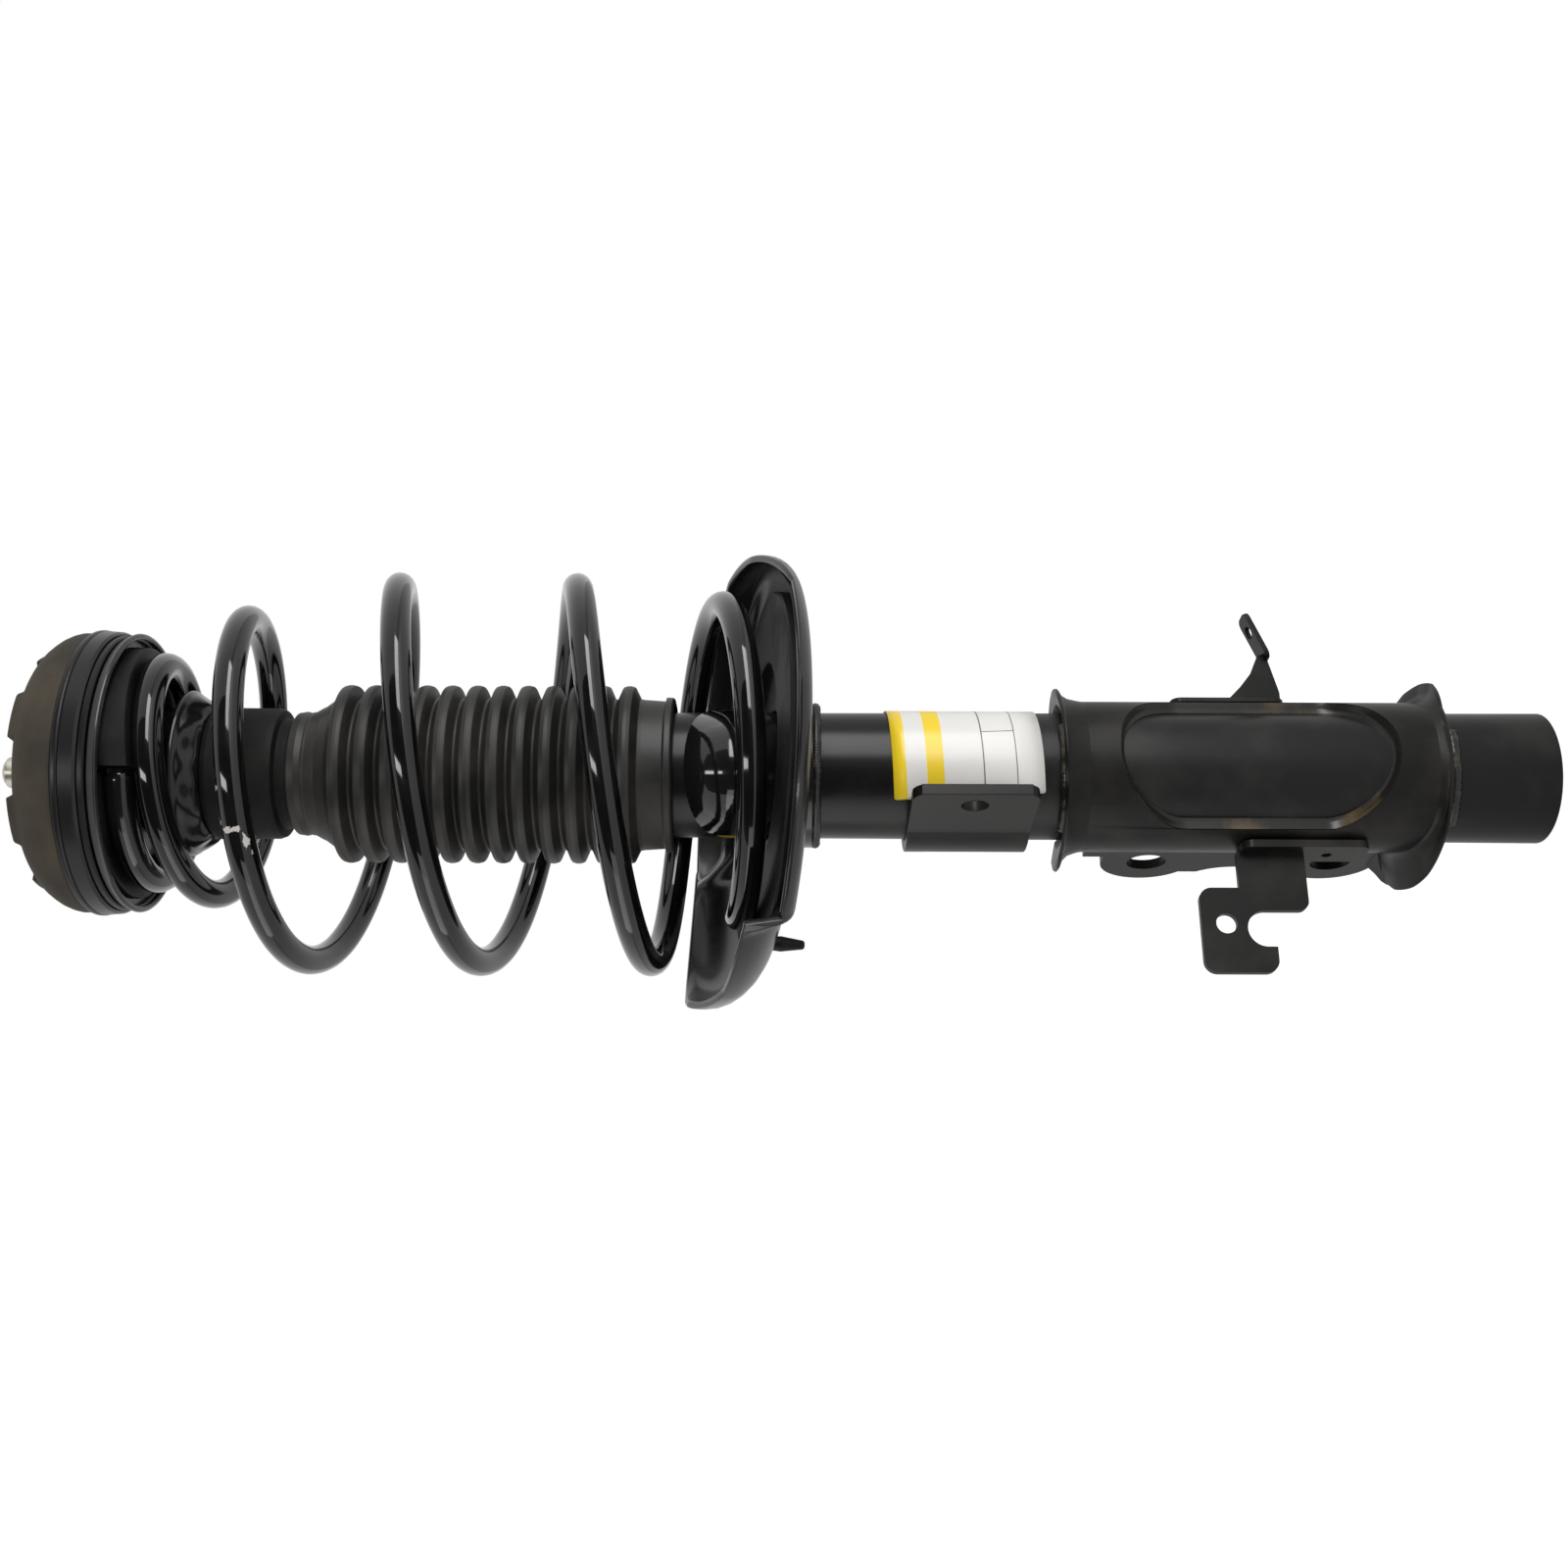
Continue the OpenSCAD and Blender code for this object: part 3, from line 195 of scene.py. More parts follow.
# %% One function for every finish
def finish(name, colour, dusty, rough, bumps=(), dust=(40, 0.5, 0.8), coat=0.0, metallic=0.0,
        stretch=(1, 1, 1), worn=None, shine=0.5):
    """A finish from its clean and dusty colours, its gloss range and bumps of (scale, height in mm)."""
    material = bpy.data.materials.new(name)
    material.use_nodes = True
    nodes, links = material.node_tree.nodes, material.node_tree.links
    shader = nodes["Principled BSDF"]
    where = nodes.new("ShaderNodeTexCoord")
    mapping = nodes.new("ShaderNodeMapping")
    mapping.inputs["Scale"].default_value = stretch
    links.new(where.outputs["Object"], mapping.inputs["Vector"])

    def grain(scale, detail):
        noise = nodes.new("ShaderNodeTexNoise")
        noise.inputs["Scale"].default_value = scale
        noise.inputs["Detail"].default_value = detail
        links.new(mapping.outputs[0], noise.inputs["Vector"])
        return noise.outputs["Fac"]

    def ramp(source, low, high, to_low=0.0, to_high=1.0):
        node = nodes.new("ShaderNodeMapRange")
        for socket, value in zip(("From Min", "From Max", "To Min", "To Max"), (low, high, to_low, to_high)):
            node.inputs[socket].default_value = value
        links.new(source, node.inputs["Value"])
        return node.outputs[0]

    def mixed(factor, first, second):
        node = nodes.new("ShaderNodeMix")
        node.data_type = "RGBA"
        links.new(factor, node.inputs[0])
        for socket, value in ((node.inputs[6], first), (node.inputs[7], second)):
            if isinstance(value, tuple):
                socket.default_value = (*value, 1)
            else:
                links.new(value, socket)
        return node.outputs[2]

    share = ramp(grain(dust[0], 5), dust[1], dust[2])
    tint = mixed(share, colour, dusty)
    gloss = ramp(share, 0, 1, *rough)
    if worn:
        attribute, bare = worn
        marks = nodes.new("ShaderNodeAttribute")
        marks.attribute_name = attribute
        frayed = nodes.new("ShaderNodeMath")
        frayed.operation = "MULTIPLY_ADD"
        links.new(grain(900, 4), frayed.inputs[0])
        frayed.inputs[1].default_value = 0.9
        links.new(marks.outputs["Fac"], frayed.inputs[2])
        bared = ramp(frayed.outputs[0], 0.98, 1.04)
        tint = mixed(bared, tint, bare)
    links.new(tint, shader.inputs["Base Color"])
    links.new(gloss, shader.inputs["Roughness"])
    shader.inputs["Specular IOR Level"].default_value = shine
    if metallic:
        shader.inputs["Metallic"].default_value = metallic
    if coat:
        shader.inputs["Coat Weight"].default_value = coat
        shader.inputs["Coat Roughness"].default_value = 0.08
    normal = None
    for scale, height in bumps:
        bump = nodes.new("ShaderNodeBump")
        bump.inputs["Distance"].default_value = height * MM
        links.new(grain(scale, 3), bump.inputs["Height"])
        if normal:
            links.new(normal, bump.inputs["Normal"])
        normal = bump.outputs["Normal"]
    if normal:
        links.new(normal, shader.inputs["Normal"])
    return material


tube_paint = finish("tube_paint", (0.006, 0.006, 0.006), (0.028, 0.027, 0.024), (0.28, 0.42),
    [(500, 0.02)], dust=(30, 0.48, 0.85), shine=0.27)
bracket_paint = finish("bracket_paint", (0.006, 0.0058, 0.0052), (0.024, 0.022, 0.018), (0.30, 0.44),
    [(700, 0.02)], dust=(45, 0.45, 0.85), shine=0.22)
seam_paint = finish("seam_paint", (0.012, 0.0115, 0.010), (0.09, 0.06, 0.022), (0.24, 0.4), [(900, 0.03)],
    dust=(26, 0.55, 0.66), shine=0.4)
spring_paint = finish("spring_paint", (0.003, 0.003, 0.003), (0.009, 0.009, 0.009), (0.06, 0.14),
    [(160, 0.01)], coat=0.5, worn=("scuff", (0.5, 0.48, 0.45)), shine=0.35)
seat_paint = finish("seat_paint", (0.010, 0.010, 0.010), (0.04, 0.038, 0.035), (0.20, 0.38),
    [(180, 0.006)], dust=(25, 0.5, 0.8), coat=0.25, shine=0.4)
upper_seat_paint = finish("upper_seat_paint", (0.016, 0.016, 0.016), (0.04, 0.039, 0.037), (0.22, 0.34),
    [(300, 0.006)], coat=0.2, shine=0.4)
weld_metal = finish("weld_metal", (0.012, 0.011, 0.010), (0.07, 0.06, 0.036), (0.22, 0.5), [(900, 0.05)],
    dust=(160, 0.5, 0.75))
boot_rubber = finish("boot_rubber", (0.014, 0.0135, 0.0125), (0.06, 0.054, 0.048), (0.42, 0.62),
    [(800, 0.02)], dust=(22, 0.42, 0.75), shine=0.4)
pad_rubber = finish("pad_rubber", (0.005, 0.005, 0.005), (0.015, 0.015, 0.014), (0.45, 0.65), [(1100, 0.03)],
    shine=0.2)
mount_rubber = finish("mount_rubber_brown", (0.030, 0.0245, 0.0175), (0.075, 0.062, 0.044), (0.6, 0.8),
    [(160, 0.06), (1300, 0.03)], dust=(35, 0.35, 0.75), shine=0.25)
foam_finish = finish("bump_foam", (0.006, 0.0058, 0.0055), (0.02, 0.019, 0.017), (0.6, 0.85),
    [(1400, 0.08), (300, 0.05)], shine=0.2)
cup_plastic = finish("cup_plastic", (0.006, 0.006, 0.0065), (0.012, 0.012, 0.012), (0.16, 0.22))
race_plastic = finish("race_plastic", (0.010, 0.010, 0.010), (0.028, 0.027, 0.026), (0.28, 0.4),
    [(600, 0.01)], shine=0.4)
lower_race_plastic = finish("bearing_plastic", (0.008, 0.008, 0.008), (0.02, 0.02, 0.02), (0.35, 0.5),
    [(600, 0.01)], shine=0.3)
plate_paint = finish("mount_plate_paint", (0.010, 0.010, 0.010), (0.03, 0.03, 0.028), (0.3, 0.5),
    [(500, 0.02)], shine=0.3)
zinc = finish("zinc_plate", (0.55, 0.52, 0.42), (0.72, 0.70, 0.62), (0.25, 0.45), [(500, 0.02)],
    dust=(120, 0.35, 0.7), metallic=1.0)
rod_chrome = finish("rod_chrome", (0.72, 0.73, 0.74), (0.65, 0.66, 0.67), (0.06, 0.14), [(300, 0.004)],
    metallic=1.0, stretch=(1, 1, 6))
turned_steel = finish("turned_steel", (0.45, 0.45, 0.45), (0.55, 0.54, 0.53), (0.25, 0.4),
    [(400, 0.01)], metallic=1.0, stretch=(1, 1, 12))
print("finishes", len(bpy.data.materials))

# %% [markdown]
# ## Helpers for turned and swept pieces
# Most of a strut is turned. Such a piece is an outline in radius and height, spun about the axis. The
# outline is written as corners with an optional fillet, because real pressed and moulded edges are
# never sharp. What is asked as a fillet only sets where its arc has its centre. The arc itself comes
# out with a radius of 1 mm, because slerp gives back a vector of length 1.

# %% Outlines, spinning, sweeping and adding pieces
def reach(node):
    return max(abs(c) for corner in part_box(node) for c in corner[:2]) / MM


def foot(node):
    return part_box(node)[0][2] / MM


def top(node):
    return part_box(node)[1][2] / MM


def outline(corners, closed=True, steps=4):
    """Corners of radius, height and an optional fillet, in millimetres, with the fillets filled in. Each
    arc has a radius of 1 mm round its centre, as slerp returns unit vectors."""
    points = []
    for i, corner in enumerate(corners):
        here = Vector(corner[:2])
        ends = not closed and i in (0, len(corners) - 1)
        if len(corner) < 3 or ends:
            points.append(here)
            continue
        before, after = Vector(corners[i - 1][:2]), Vector(corners[(i + 1) % len(corners)][:2])
        a, b = (before - here), (after - here)
        half = a.angle(b) / 2
        back = min(corner[2] / math.tan(half), 0.48 * a.length, 0.48 * b.length)
        a.normalize()
        b.normalize()
        centre = here + (a + b).normalized() * back / math.cos(half)
        start, end = here + a * back - centre, here + b * back - centre
        points += [centre + start.slerp(end, k / steps) for k in range(steps + 1)]
    return points


def fill_holes(bm):
    loose = [e for e in bm.edges if e.is_boundary]
    if loose:
        bmesh.ops.holes_fill(bm, edges=loose, sides=0)


def spin(bm, points, steps=144, closed=True, start=0.0, sweep=360.0):
    """Spins an outline about the strut's axis and caps the ends of a part turn."""
    a = math.radians(start)
    verts = [bm.verts.new((p[0] * MM * math.cos(a), p[0] * MM * math.sin(a), p[1] * MM)) for p in points]
    edges = [bm.edges.new(pair) for pair in zip(verts, verts[1:])]
    if closed:
        edges.append(bm.edges.new((verts[-1], verts[0])))
    bmesh.ops.spin(bm, geom=verts + edges, cent=(0, 0, 0), axis=(0, 0, 1),
        angle=math.radians(sweep), steps=steps, use_merge=sweep == 360.0)
    if sweep != 360.0:
        fill_holes(bm)


def round_loft(steps, section):
    """Spins a flat fan of rings, then moves every ring's point to where the section at its angle has it."""
    bm = bmesh.new()
    spin(bm, [(i + 1, 0) for i in range(len(section(0)))], steps)
    for vert in bm.verts:
        row = round(vert.co.xy.length / MM) - 1
        angle = math.degrees(math.atan2(vert.co.y, vert.co.x)) % 360
        vert.co = section(angle)[row] * MM
    return bm


def sheet_of(columns, rows, where):
    """A grid with its UV map, whose points are moved to where(u, v)."""
    bm = bmesh.new()
    bm.loops.layers.uv.new("UVMap")
    bmesh.ops.create_grid(bm, x_segments=columns, y_segments=rows, size=0.5, calc_uvs=True)
    for vert in bm.verts:
        vert.co = where(vert.co.x + 0.5, vert.co.y + 0.5) * MM
    return bm


def join_part(bm, part):
    """Moves one bmesh into another."""
    mesh = bpy.data.meshes.new("part")
    part.to_mesh(mesh)
    part.free()
    bm.from_mesh(mesh)
    bpy.data.meshes.remove(mesh)


def add_piece(name, bm, body, material, stands_for=(), crease=32, level=True):
    """Merges, closes and shades a mesh, and makes it a piece that rides on a body. Level shading keeps
    a large face flat beside its small rounded edges."""
    bmesh.ops.remove_doubles(bm, verts=bm.verts, dist=MERGE)
    fill_holes(bm)
    bmesh.ops.recalc_face_normals(bm, faces=bm.faces)
    for face in bm.faces:
        face.smooth = True
    mesh = bpy.data.meshes.new(name)
    bm.to_mesh(mesh)
    bm.free()
    mesh.set_sharp_from_angle(angle=math.radians(crease))
    for one in material if isinstance(material, (list, tuple)) else [material]:
        mesh.materials.append(one)
    piece = new_object(name, mesh)
    if level:
        shading = piece.modifiers.new("level_shading", "WEIGHTED_NORMAL")
        shading.keep_sharp = True
    if body:
        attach(piece, body)
    if stands_for:
        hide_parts(*stands_for)
    print(name, "faces", len(mesh.polygons))
    return piece


def polar(r, angle, z=0.0):
    return Vector((r * math.cos(math.radians(angle)), r * math.sin(math.radians(angle)), z))


def between(x, table):
    """A value read from a table of (x, value), straight between its lines."""
    for (x0, v0), (x1, v1) in zip(table, table[1:]):
        if x <= x1:
            return v0 + (v1 - v0) * max(0.0, (x - x0) / (x1 - x0))
    return table[-1][1]


def ease(u):
    u = min(1.0, max(0.0, u))
    return u * u * (3 - 2 * u)


print("tube radius", reach("strut_tube"), "mm")

# %% [markdown]
# ## The damper tube and its base
# The tube is drawn steel, rolled over at both ends and painted black after welding. Its outline holds
# both rolled edges, so one spin makes the whole piece.

# %% Tube and base cup
tube_r = reach("strut_tube")
tube_wall = 2.2
tube_in = tube_r - tube_wall
tube_top = top("strut_tube")
seal_top = top("rod_seal")
bm = bmesh.new()
spin(bm, outline([(tube_in, 1.6), (tube_in + 0.3, 0.5, 0.3), (tube_r - 2, 0, 1.0), (tube_r, 0, 2.6),
    (tube_r, tube_top, 2.0), (tube_in - 4, tube_top, 0.5), (tube_in - 4, seal_top), (tube_in, seal_top)],
    steps=6), 192)
add_piece("tube", bm, "damper", tube_paint, ["strut_tube"])
bm = bmesh.new()
cup_edge = tube_in - 0.2
spin(bm, outline([(0, 1.4), (15, 1.4, 3), (18.5, 0.3, 2), (cup_edge, 0.3, 0.8), (cup_edge, 5, 0.3), (0, 5)],
    closed=False), 96, closed=False)
add_piece("base_cup", bm, "damper", tube_paint, ["base_cap"])

# %% [markdown]
# ## The coil spring
# Cold wound wire, with a small upper end, wide middle coils and a lower end that leans with its seat.
# The wire's centre line is worked out turn by turn. A grid is bent round that line: its long side runs
# along the wire and its short side goes round it, so the UV map comes with it. A curve with a bevel
# would also do, but then the marks of wear could not be laid on single points.

# %% Spring path and swept wire
wire_r = 5.6
top_coil_r, body_coil_r, end_coil_r = 41.5, 73.5, 55.0
spring_turns, spring_height, spring_start = 5.22, 231.6, -113.0
spring_top = top("coil_spring") - wire_r
seat_tilt = 9.3
coil_pitch = [(0, 4), (0.5, 5), (0.75, 14), (0.9, 34), (1.15, 48), (1.35, 32), (1.5, 22), (2.25, 64),
    (3, 68), (3.6, 70), (4, 65), (4.5, 44), (spring_turns, 17)]
grow_from, grow_turns, taper_from, swell = 0.75, 1.42, 4.25, 1.6
tilt_from, tilt_turns = 3.9, 1.3
path_steps = 960


def plain_radius(t):
    grown = min(1.0, max(0.0, (t - grow_from) / grow_turns)) ** swell
    drawn = min(1.0, max(0.0, (t - taper_from) / (spring_turns - taper_from))) ** swell
    return top_coil_r + (body_coil_r - top_coil_r) * grown - (body_coil_r - end_coil_r) * drawn


sunk = [0.0]
for i in range(path_steps):
    sunk.append(sunk[-1] + between((i + 0.5) * spring_turns / path_steps, coil_pitch))
sunk = [s * spring_height / sunk[-1] for s in sunk]


def wire_at(t):
    """The wire's centre at turn t, in millimetres."""
    r = sum(plain_radius(t + d) for d in (-0.12, -0.06, 0, 0.06, 0.12)) / 5
    step = min(max(t, 0.0), spring_turns) * path_steps / spring_turns
    low = min(int(step), path_steps - 1)
    sink = sunk[low] + (sunk[low + 1] - sunk[low]) * (step - low)
    lean = ease((t - tilt_from) / tilt_turns) * math.tan(math.radians(seat_tilt))
    centre = polar(r, spring_start - 360 * t, spring_top - sink)
    centre.z += lean * centre.y
    return centre


def wire_frame(t):
    d = 0.004
    along = (wire_at(min(t + d, spring_turns)) - wire_at(max(t - d, 0.0))).normalized()
    outwards = polar(1, spring_start - 360 * t)
    outwards = (outwards - along * outwards.dot(along)).normalized()
    return along, outwards, along.cross(outwards)


frames = [(wire_at(t), *wire_frame(t)) for t in
    (k * spring_turns / path_steps for k in range(path_steps + 1))]
scuffs = [(2.012, 72, 2.2, 45, 1.0), (2.039, 78, 3.0, 40, 1.0), (2.044, 18, 1.6, 50, 0.9),
    (2.046, 345, 2.0, 30, 1.0), (2.055, 318, 4.0, 22, 1.0), (2.066, 300, 3.0, 14, 0.8)]
wire_columns, wire_sides = 960, 20
bm = bmesh.new()
bm.loops.layers.uv.new("UVMap")
bmesh.ops.create_grid(bm, x_segments=wire_columns, y_segments=wire_sides, size=0.5, calc_uvs=True)
turn_layer = bm.verts.layers.float.new("wire_turn")
scuff_layer = bm.verts.layers.float.new("scuff")
for vert in bm.verts:
    u, v = vert.co.x + 0.5, vert.co.y + 0.5
    turn, side = u * spring_turns, 360 * v
    centre, along, outwards, up = frames[round(u * path_steps)]
    ends = min(u, 1 - u) * spring_turns * 360
    girth = wire_r * (1 - 0.12 * max(0.0, 1 - ends / 2) ** 2)
    a = math.radians(side)
    vert.co = (centre + (outwards * math.cos(a) + up * math.sin(a)) * girth) * MM
    vert[turn_layer] = turn
    for at_turn, at_side, length, breadth, depth in scuffs:
        along_mm = (turn - at_turn) * 2 * math.pi * centre.xy.length
        round_deg = (side - at_side + 180) % 360 - 180
        vert[scuff_layer] = max(vert[scuff_layer],
            depth * (1 - (along_mm / length) ** 2 - (round_deg / breadth) ** 2))
spring = add_piece("spring_wire", bm, None, spring_paint, ["coil_spring"], crease=50)
low_z, high_z = wire_at(spring_turns).z, wire_at(0).z
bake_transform(spring)
turns = [d.value for d in spring.data.attributes["wire_turn"].data]
weights = [ease((wire_at(t).z - low_z) / (high_z - low_z)) for t in turns]
print("wire length", round(sum((b[0] - a[0]).length for a, b in zip(frames, frames[1:]))), "mm")

# %% [markdown]
# ## The lower spring seat
# A deep drawing with a low rim at the coil's end, a wall on the knuckle's side and a guard that sweeps
# up on the tyre's side. Its section changes all the way round, so a single spin can't make it. A flat
# fan of rings is spun first, and each ring's point then moves to where the section at its angle has it.

# %% Lower seat
seat_z, seat_shift, seat_r, sheet = 299.5, 4.0, 89.0, 3.0
neck_r, neck_low = 28.4, 285.5
tilt = Matrix.Rotation(math.radians(seat_tilt), 3, "X")
guard_start, guard_end = 95.0, 213.0
guard_line = [(-1.1, 20), (-0.82, 21.5), (-0.22, 27.5), (0.06, 30), (0.16, 30), (0.56, 21), (1.1, 18)]
rim_h, wall_h = 6.0, 21.0
side_steps = 9


def on_seat(angle, r, h):
    """A point of the tilted seat from its angle and radius about the seat's own middle."""
    return tilt @ (polar(r, angle, h) - Vector((seat_shift, 0, 0))) + Vector((0, 0, seat_z))


def floor_under(x, y):
    """Height of the floor's underside over a point of the ground plan."""
    return seat_z + y * math.tan(math.radians(seat_tilt))


def wall_top(angle):
    if guard_start <= angle <= guard_end:
        return between(math.sin(math.radians(angle - 150)), guard_line)
    if guard_end < angle < 310:
        return rim_h
    if angle >= 305:
        climb = between(math.sin(math.radians(angle - 335)), [(-0.5, 5), (0.035, 16.5), (0.5, 22)])
        return min(wall_h, max(rim_h, climb))
    return wall_h


def guard_share(angle):
    return ease((angle - guard_start + 7) / 14) * (1 - ease((angle - guard_end + 5) / 5))


def seat_section(angle):
    on_guard = guard_share(angle)
    wide, lift = 11 + 21 * on_guard, 11 + 13 * on_guard
    high = wall_top(angle)
    last = math.acos(max(0.0, 1 - (high - 1) / lift))
    swing = [last * i / (side_steps - 1) for i in range(side_steps)]
    outer, inner = ([(seat_r - wide + (wide - thick) * math.sin(s), lift - (lift - thick) * math.cos(s))
        for s in swing] for thick in (0, sheet))
    out_r, in_r = outer[-1][0], inner[-1][0]
    points = [polar(neck_r - 2.7, angle, neck_low), polar(neck_r - 0.6, angle, neck_low),
        polar(neck_r, angle, neck_low + 0.6)]
    for r, drop in ((neck_r, 3.0), (neck_r + 0.6, 1.2), (neck_r + 2.4, 0.2)):
        p = polar(r, angle)
        points.append(Vector((p.x, p.y, floor_under(p.x, p.y) - drop)))
    points += [on_seat(angle, 42, 0)] + [on_seat(angle, r, h) for r, h in outer]
    points += [on_seat(angle, out_r, high - 1), on_seat(angle, out_r - 0.3, high - 0.3),
        on_seat(angle, out_r - 1, high), on_seat(angle, in_r + 1, high),
        on_seat(angle, in_r + 0.3, high - 0.3), on_seat(angle, in_r, high - 1)]
    points += [on_seat(angle, r, h) for r, h in reversed(inner)] + [on_seat(angle, 42, sheet)]
    p = polar(neck_r - 2.7, angle)
    points.append(Vector((p.x, p.y, floor_under(p.x, p.y) + sheet)))
    return points


bm = round_loft(288, seat_section)
add_piece("lower_seat", bm, "damper", seat_paint, ["lower_spring_seat"], crease=38)

# %% [markdown]
# ## The lower insulator
# A rubber pad keeps the wire off the paint, and its nubs are pulled through holes in the seat. The pad
# is lofted like the seat, and each nub is a small turned plug that is moved to its hole.

# %% Lower pad and nubs
pad_in, pad_out, pad_t, nub_reach = 44.0, 75.5, 4.2, 67.0


def pad_section(angle):
    on_guard = guard_share(angle)
    out_low, out_high = pad_out - 14.5 * on_guard, pad_out - 4.1 * on_guard
    inner = pad_in + seat_shift * math.cos(math.radians(angle))
    half_way = (inner + out_high) / 2
    rows = [(inner, 0), (out_low - 1, 0), ((out_low + out_high) / 2, 0.4 * on_guard),
        (out_high, 2.9 * on_guard + 0.6 * (1 - on_guard)), (out_high, pad_t - 0.8), (out_high - 0.8, pad_t),
        (half_way + 9, pad_t), (half_way - 6, pad_t - 0.3), (inner + 0.8, pad_t), (inner, pad_t - 0.8)]
    return [on_seat(angle, r, sheet + 0.05 + h) for r, h in rows]


bm = round_loft(180, pad_section)
nub = outline([(0, -12), (1.2, -12, 0.5), (2.6, -3.2, 0.6), (2.7, 0), (2.7, 4.5), (0, 4.5)], closed=False)
for angle in (0, 86, 172):
    before = set(bm.verts)
    spin(bm, nub, 20, closed=False)
    made = [v for v in bm.verts if v not in before]
    spot = tilt @ polar(nub_reach, angle) + Vector((0, 0, seat_z))
    bmesh.ops.rotate(bm, verts=made, cent=(0, 0, 0), matrix=tilt)
    bmesh.ops.translate(bm, verts=made, vec=spot * MM)
add_piece("lower_pad", bm, "damper", pad_rubber, ["lower_insulator"], crease=40)

# %% [markdown]
# ## The dust boot
# A blow-moulded bellows: a plain neck that snaps into the bump stop's groove, twelve ribs with round
# crests and tight valleys, and a collar on the tube's cap. It is one spun outline with a thin wall.
# It stretches along the strut, and is left on no body, with its transform baked into its points.

# %% Boot
rib_count, rib_crest, rib_valley, boot_wall = 12, 35.2, 30.1, 1.5
bump_r = reach("bump_stop")
boot_top, boot_low = top("dust_boot"), foot("dust_boot")
neck_end, collar_top = boot_top - 15.7, boot_low + 12.4
rib_pitch = (neck_end - collar_top) / rib_count
cap_r, groove_r = tube_r + 1.9, bump_r - 4.6
collar_r = cap_r + 2.2


def ribs(inset):
    rows = []
    for k in range(rib_count):
        z = neck_end - (k + 0.5) * rib_pitch
        crest, valley = rib_crest - inset, rib_valley - inset
        rows += [(valley, z + 0.46 * rib_pitch, 0.8), (crest - 0.7, z + 0.22 * rib_pitch, 1.0),
            (crest, z + 0.08 * rib_pitch, 1.2), (crest, z - 0.08 * rib_pitch, 1.2),
            (crest - 0.7, z - 0.22 * rib_pitch, 1.0), (valley, z - 0.46 * rib_pitch, 0.8)]
    return rows


boot_neck = bump_r - 0.3
boot_rows = ([(groove_r + 0.4, boot_top, 0.5), (groove_r + 2.4, boot_top, 1.2),
    (boot_neck - 0.4, boot_top - 2.8, 2.0), (boot_neck, boot_top - 6, 3.0),
    (boot_neck - 0.6, neck_end + 4, 2.0)] + ribs(0)
    + [(collar_r, collar_top - 1, 1.0), (collar_r, boot_low + 3.4, 0.5),
    (collar_r + 0.5, boot_low + 2.4, 0.5), (collar_r + 0.5, boot_low, 0.6),
    (cap_r + 0.3, boot_low, 0.3), (cap_r + 0.3, collar_top - 2, 0.5)] + ribs(boot_wall)[::-1]
    + [(boot_neck - boot_wall, neck_end + 3.5, 1.0), (boot_neck - boot_wall, boot_top - 6, 1.0),
    (groove_r + 0.4, boot_top - 3, 0.5)])
bm = bmesh.new()
spin(bm, outline(boot_rows, steps=3), 128)
boot = add_piece("boot", bm, None, boot_rubber, ["dust_boot"], crease=60)
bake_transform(boot)

# %% [markdown]
# ## Bump stop and its cup
# A foam stop, grooved for the boot, hangs in a fluted plastic cup under the upper seat. The foam is
# spun. The cup's wall waves in and out ten times, so it is lofted from sections at each angle.

# %% Bump stop and cup
tip_z, dish_low = foot("bump_stop"), top("bump_cup")
bump_top = dish_low - 24.5
groove_top = bump_top - 26.8
groove_low = groove_top - 9.7
nose_r, rod_hole, spigot_r = 23.6, 11.0, 20.0
bm = bmesh.new()
spin(bm, outline([(rod_hole, tip_z, 0.6), (15.5, tip_z, 1.5), (16.5, tip_z + 8, 2), (14.6, tip_z + 11, 2),
    (18, tip_z + 15, 2), (nose_r - 0.8, tip_z + 20, 3), (nose_r - 0.8, groove_low - 6, 2),
    (groove_r, groove_low, 1), (groove_r, groove_top - 0.8, 1), (bump_r - 1.4, groove_top, 0.8),
    (bump_r, groove_top + 1.6, 1.4), (bump_r, bump_top - 1.8, 1.2),
    (bump_r - 1.2, bump_top - 0.2, 0.8), (spigot_r, bump_top - 0.2, 0.5),
    (spigot_r, dish_low - 3.6, 0.5), (rod_hole, dish_low - 3.6, 0.5)]), 128)
add_piece("bump_stop_foam", bm, "upper_seat", foam_finish, ["bump_stop"])
cup_r, cup_rim, flutes = 32.5, dish_low - 15.0, 10


def cup_section(angle):
    groove = 0.5 + 0.5 * math.cos(math.radians(flutes * (angle - 18)))
    rows = [(24, dish_low - 0.05), (24, cup_rim + 5), (cup_r - 1.8, cup_rim + 1.8),
        (cup_r - 0.5, cup_rim + 1.1), (cup_r, cup_rim + 0.4), (cup_r, cup_rim - 0.4),
        (cup_r - 0.5, cup_rim - 1.2)]
    wall_high = cup_rim - 1.4
    for share in (0.05, 0.15, 0.3, 0.45, 0.6, 0.75, 0.88, 0.96, 1.0):
        bulge = cup_r - 1 - (cup_r - bump_r - 1.6) * share ** 1.3 - 1.6 * max(0.0, share - 0.85) / 0.15
        rows.append((bulge - 1.7 * groove * ease(share * 1.4), wall_high - (wall_high - bump_top) * share))
    rows += [(spigot_r + 0.3, bump_top), (spigot_r + 0.3, dish_low - 3.2), (11.5, dish_low - 3.2),
        (11.5, dish_low - 0.05)]
    return [polar(r, angle, z) for r, z in rows]


bm = round_loft(240, cup_section)
add_piece("stop_cup", bm, "upper_seat", cup_plastic, ["bump_cup"], crease=50, level=False)

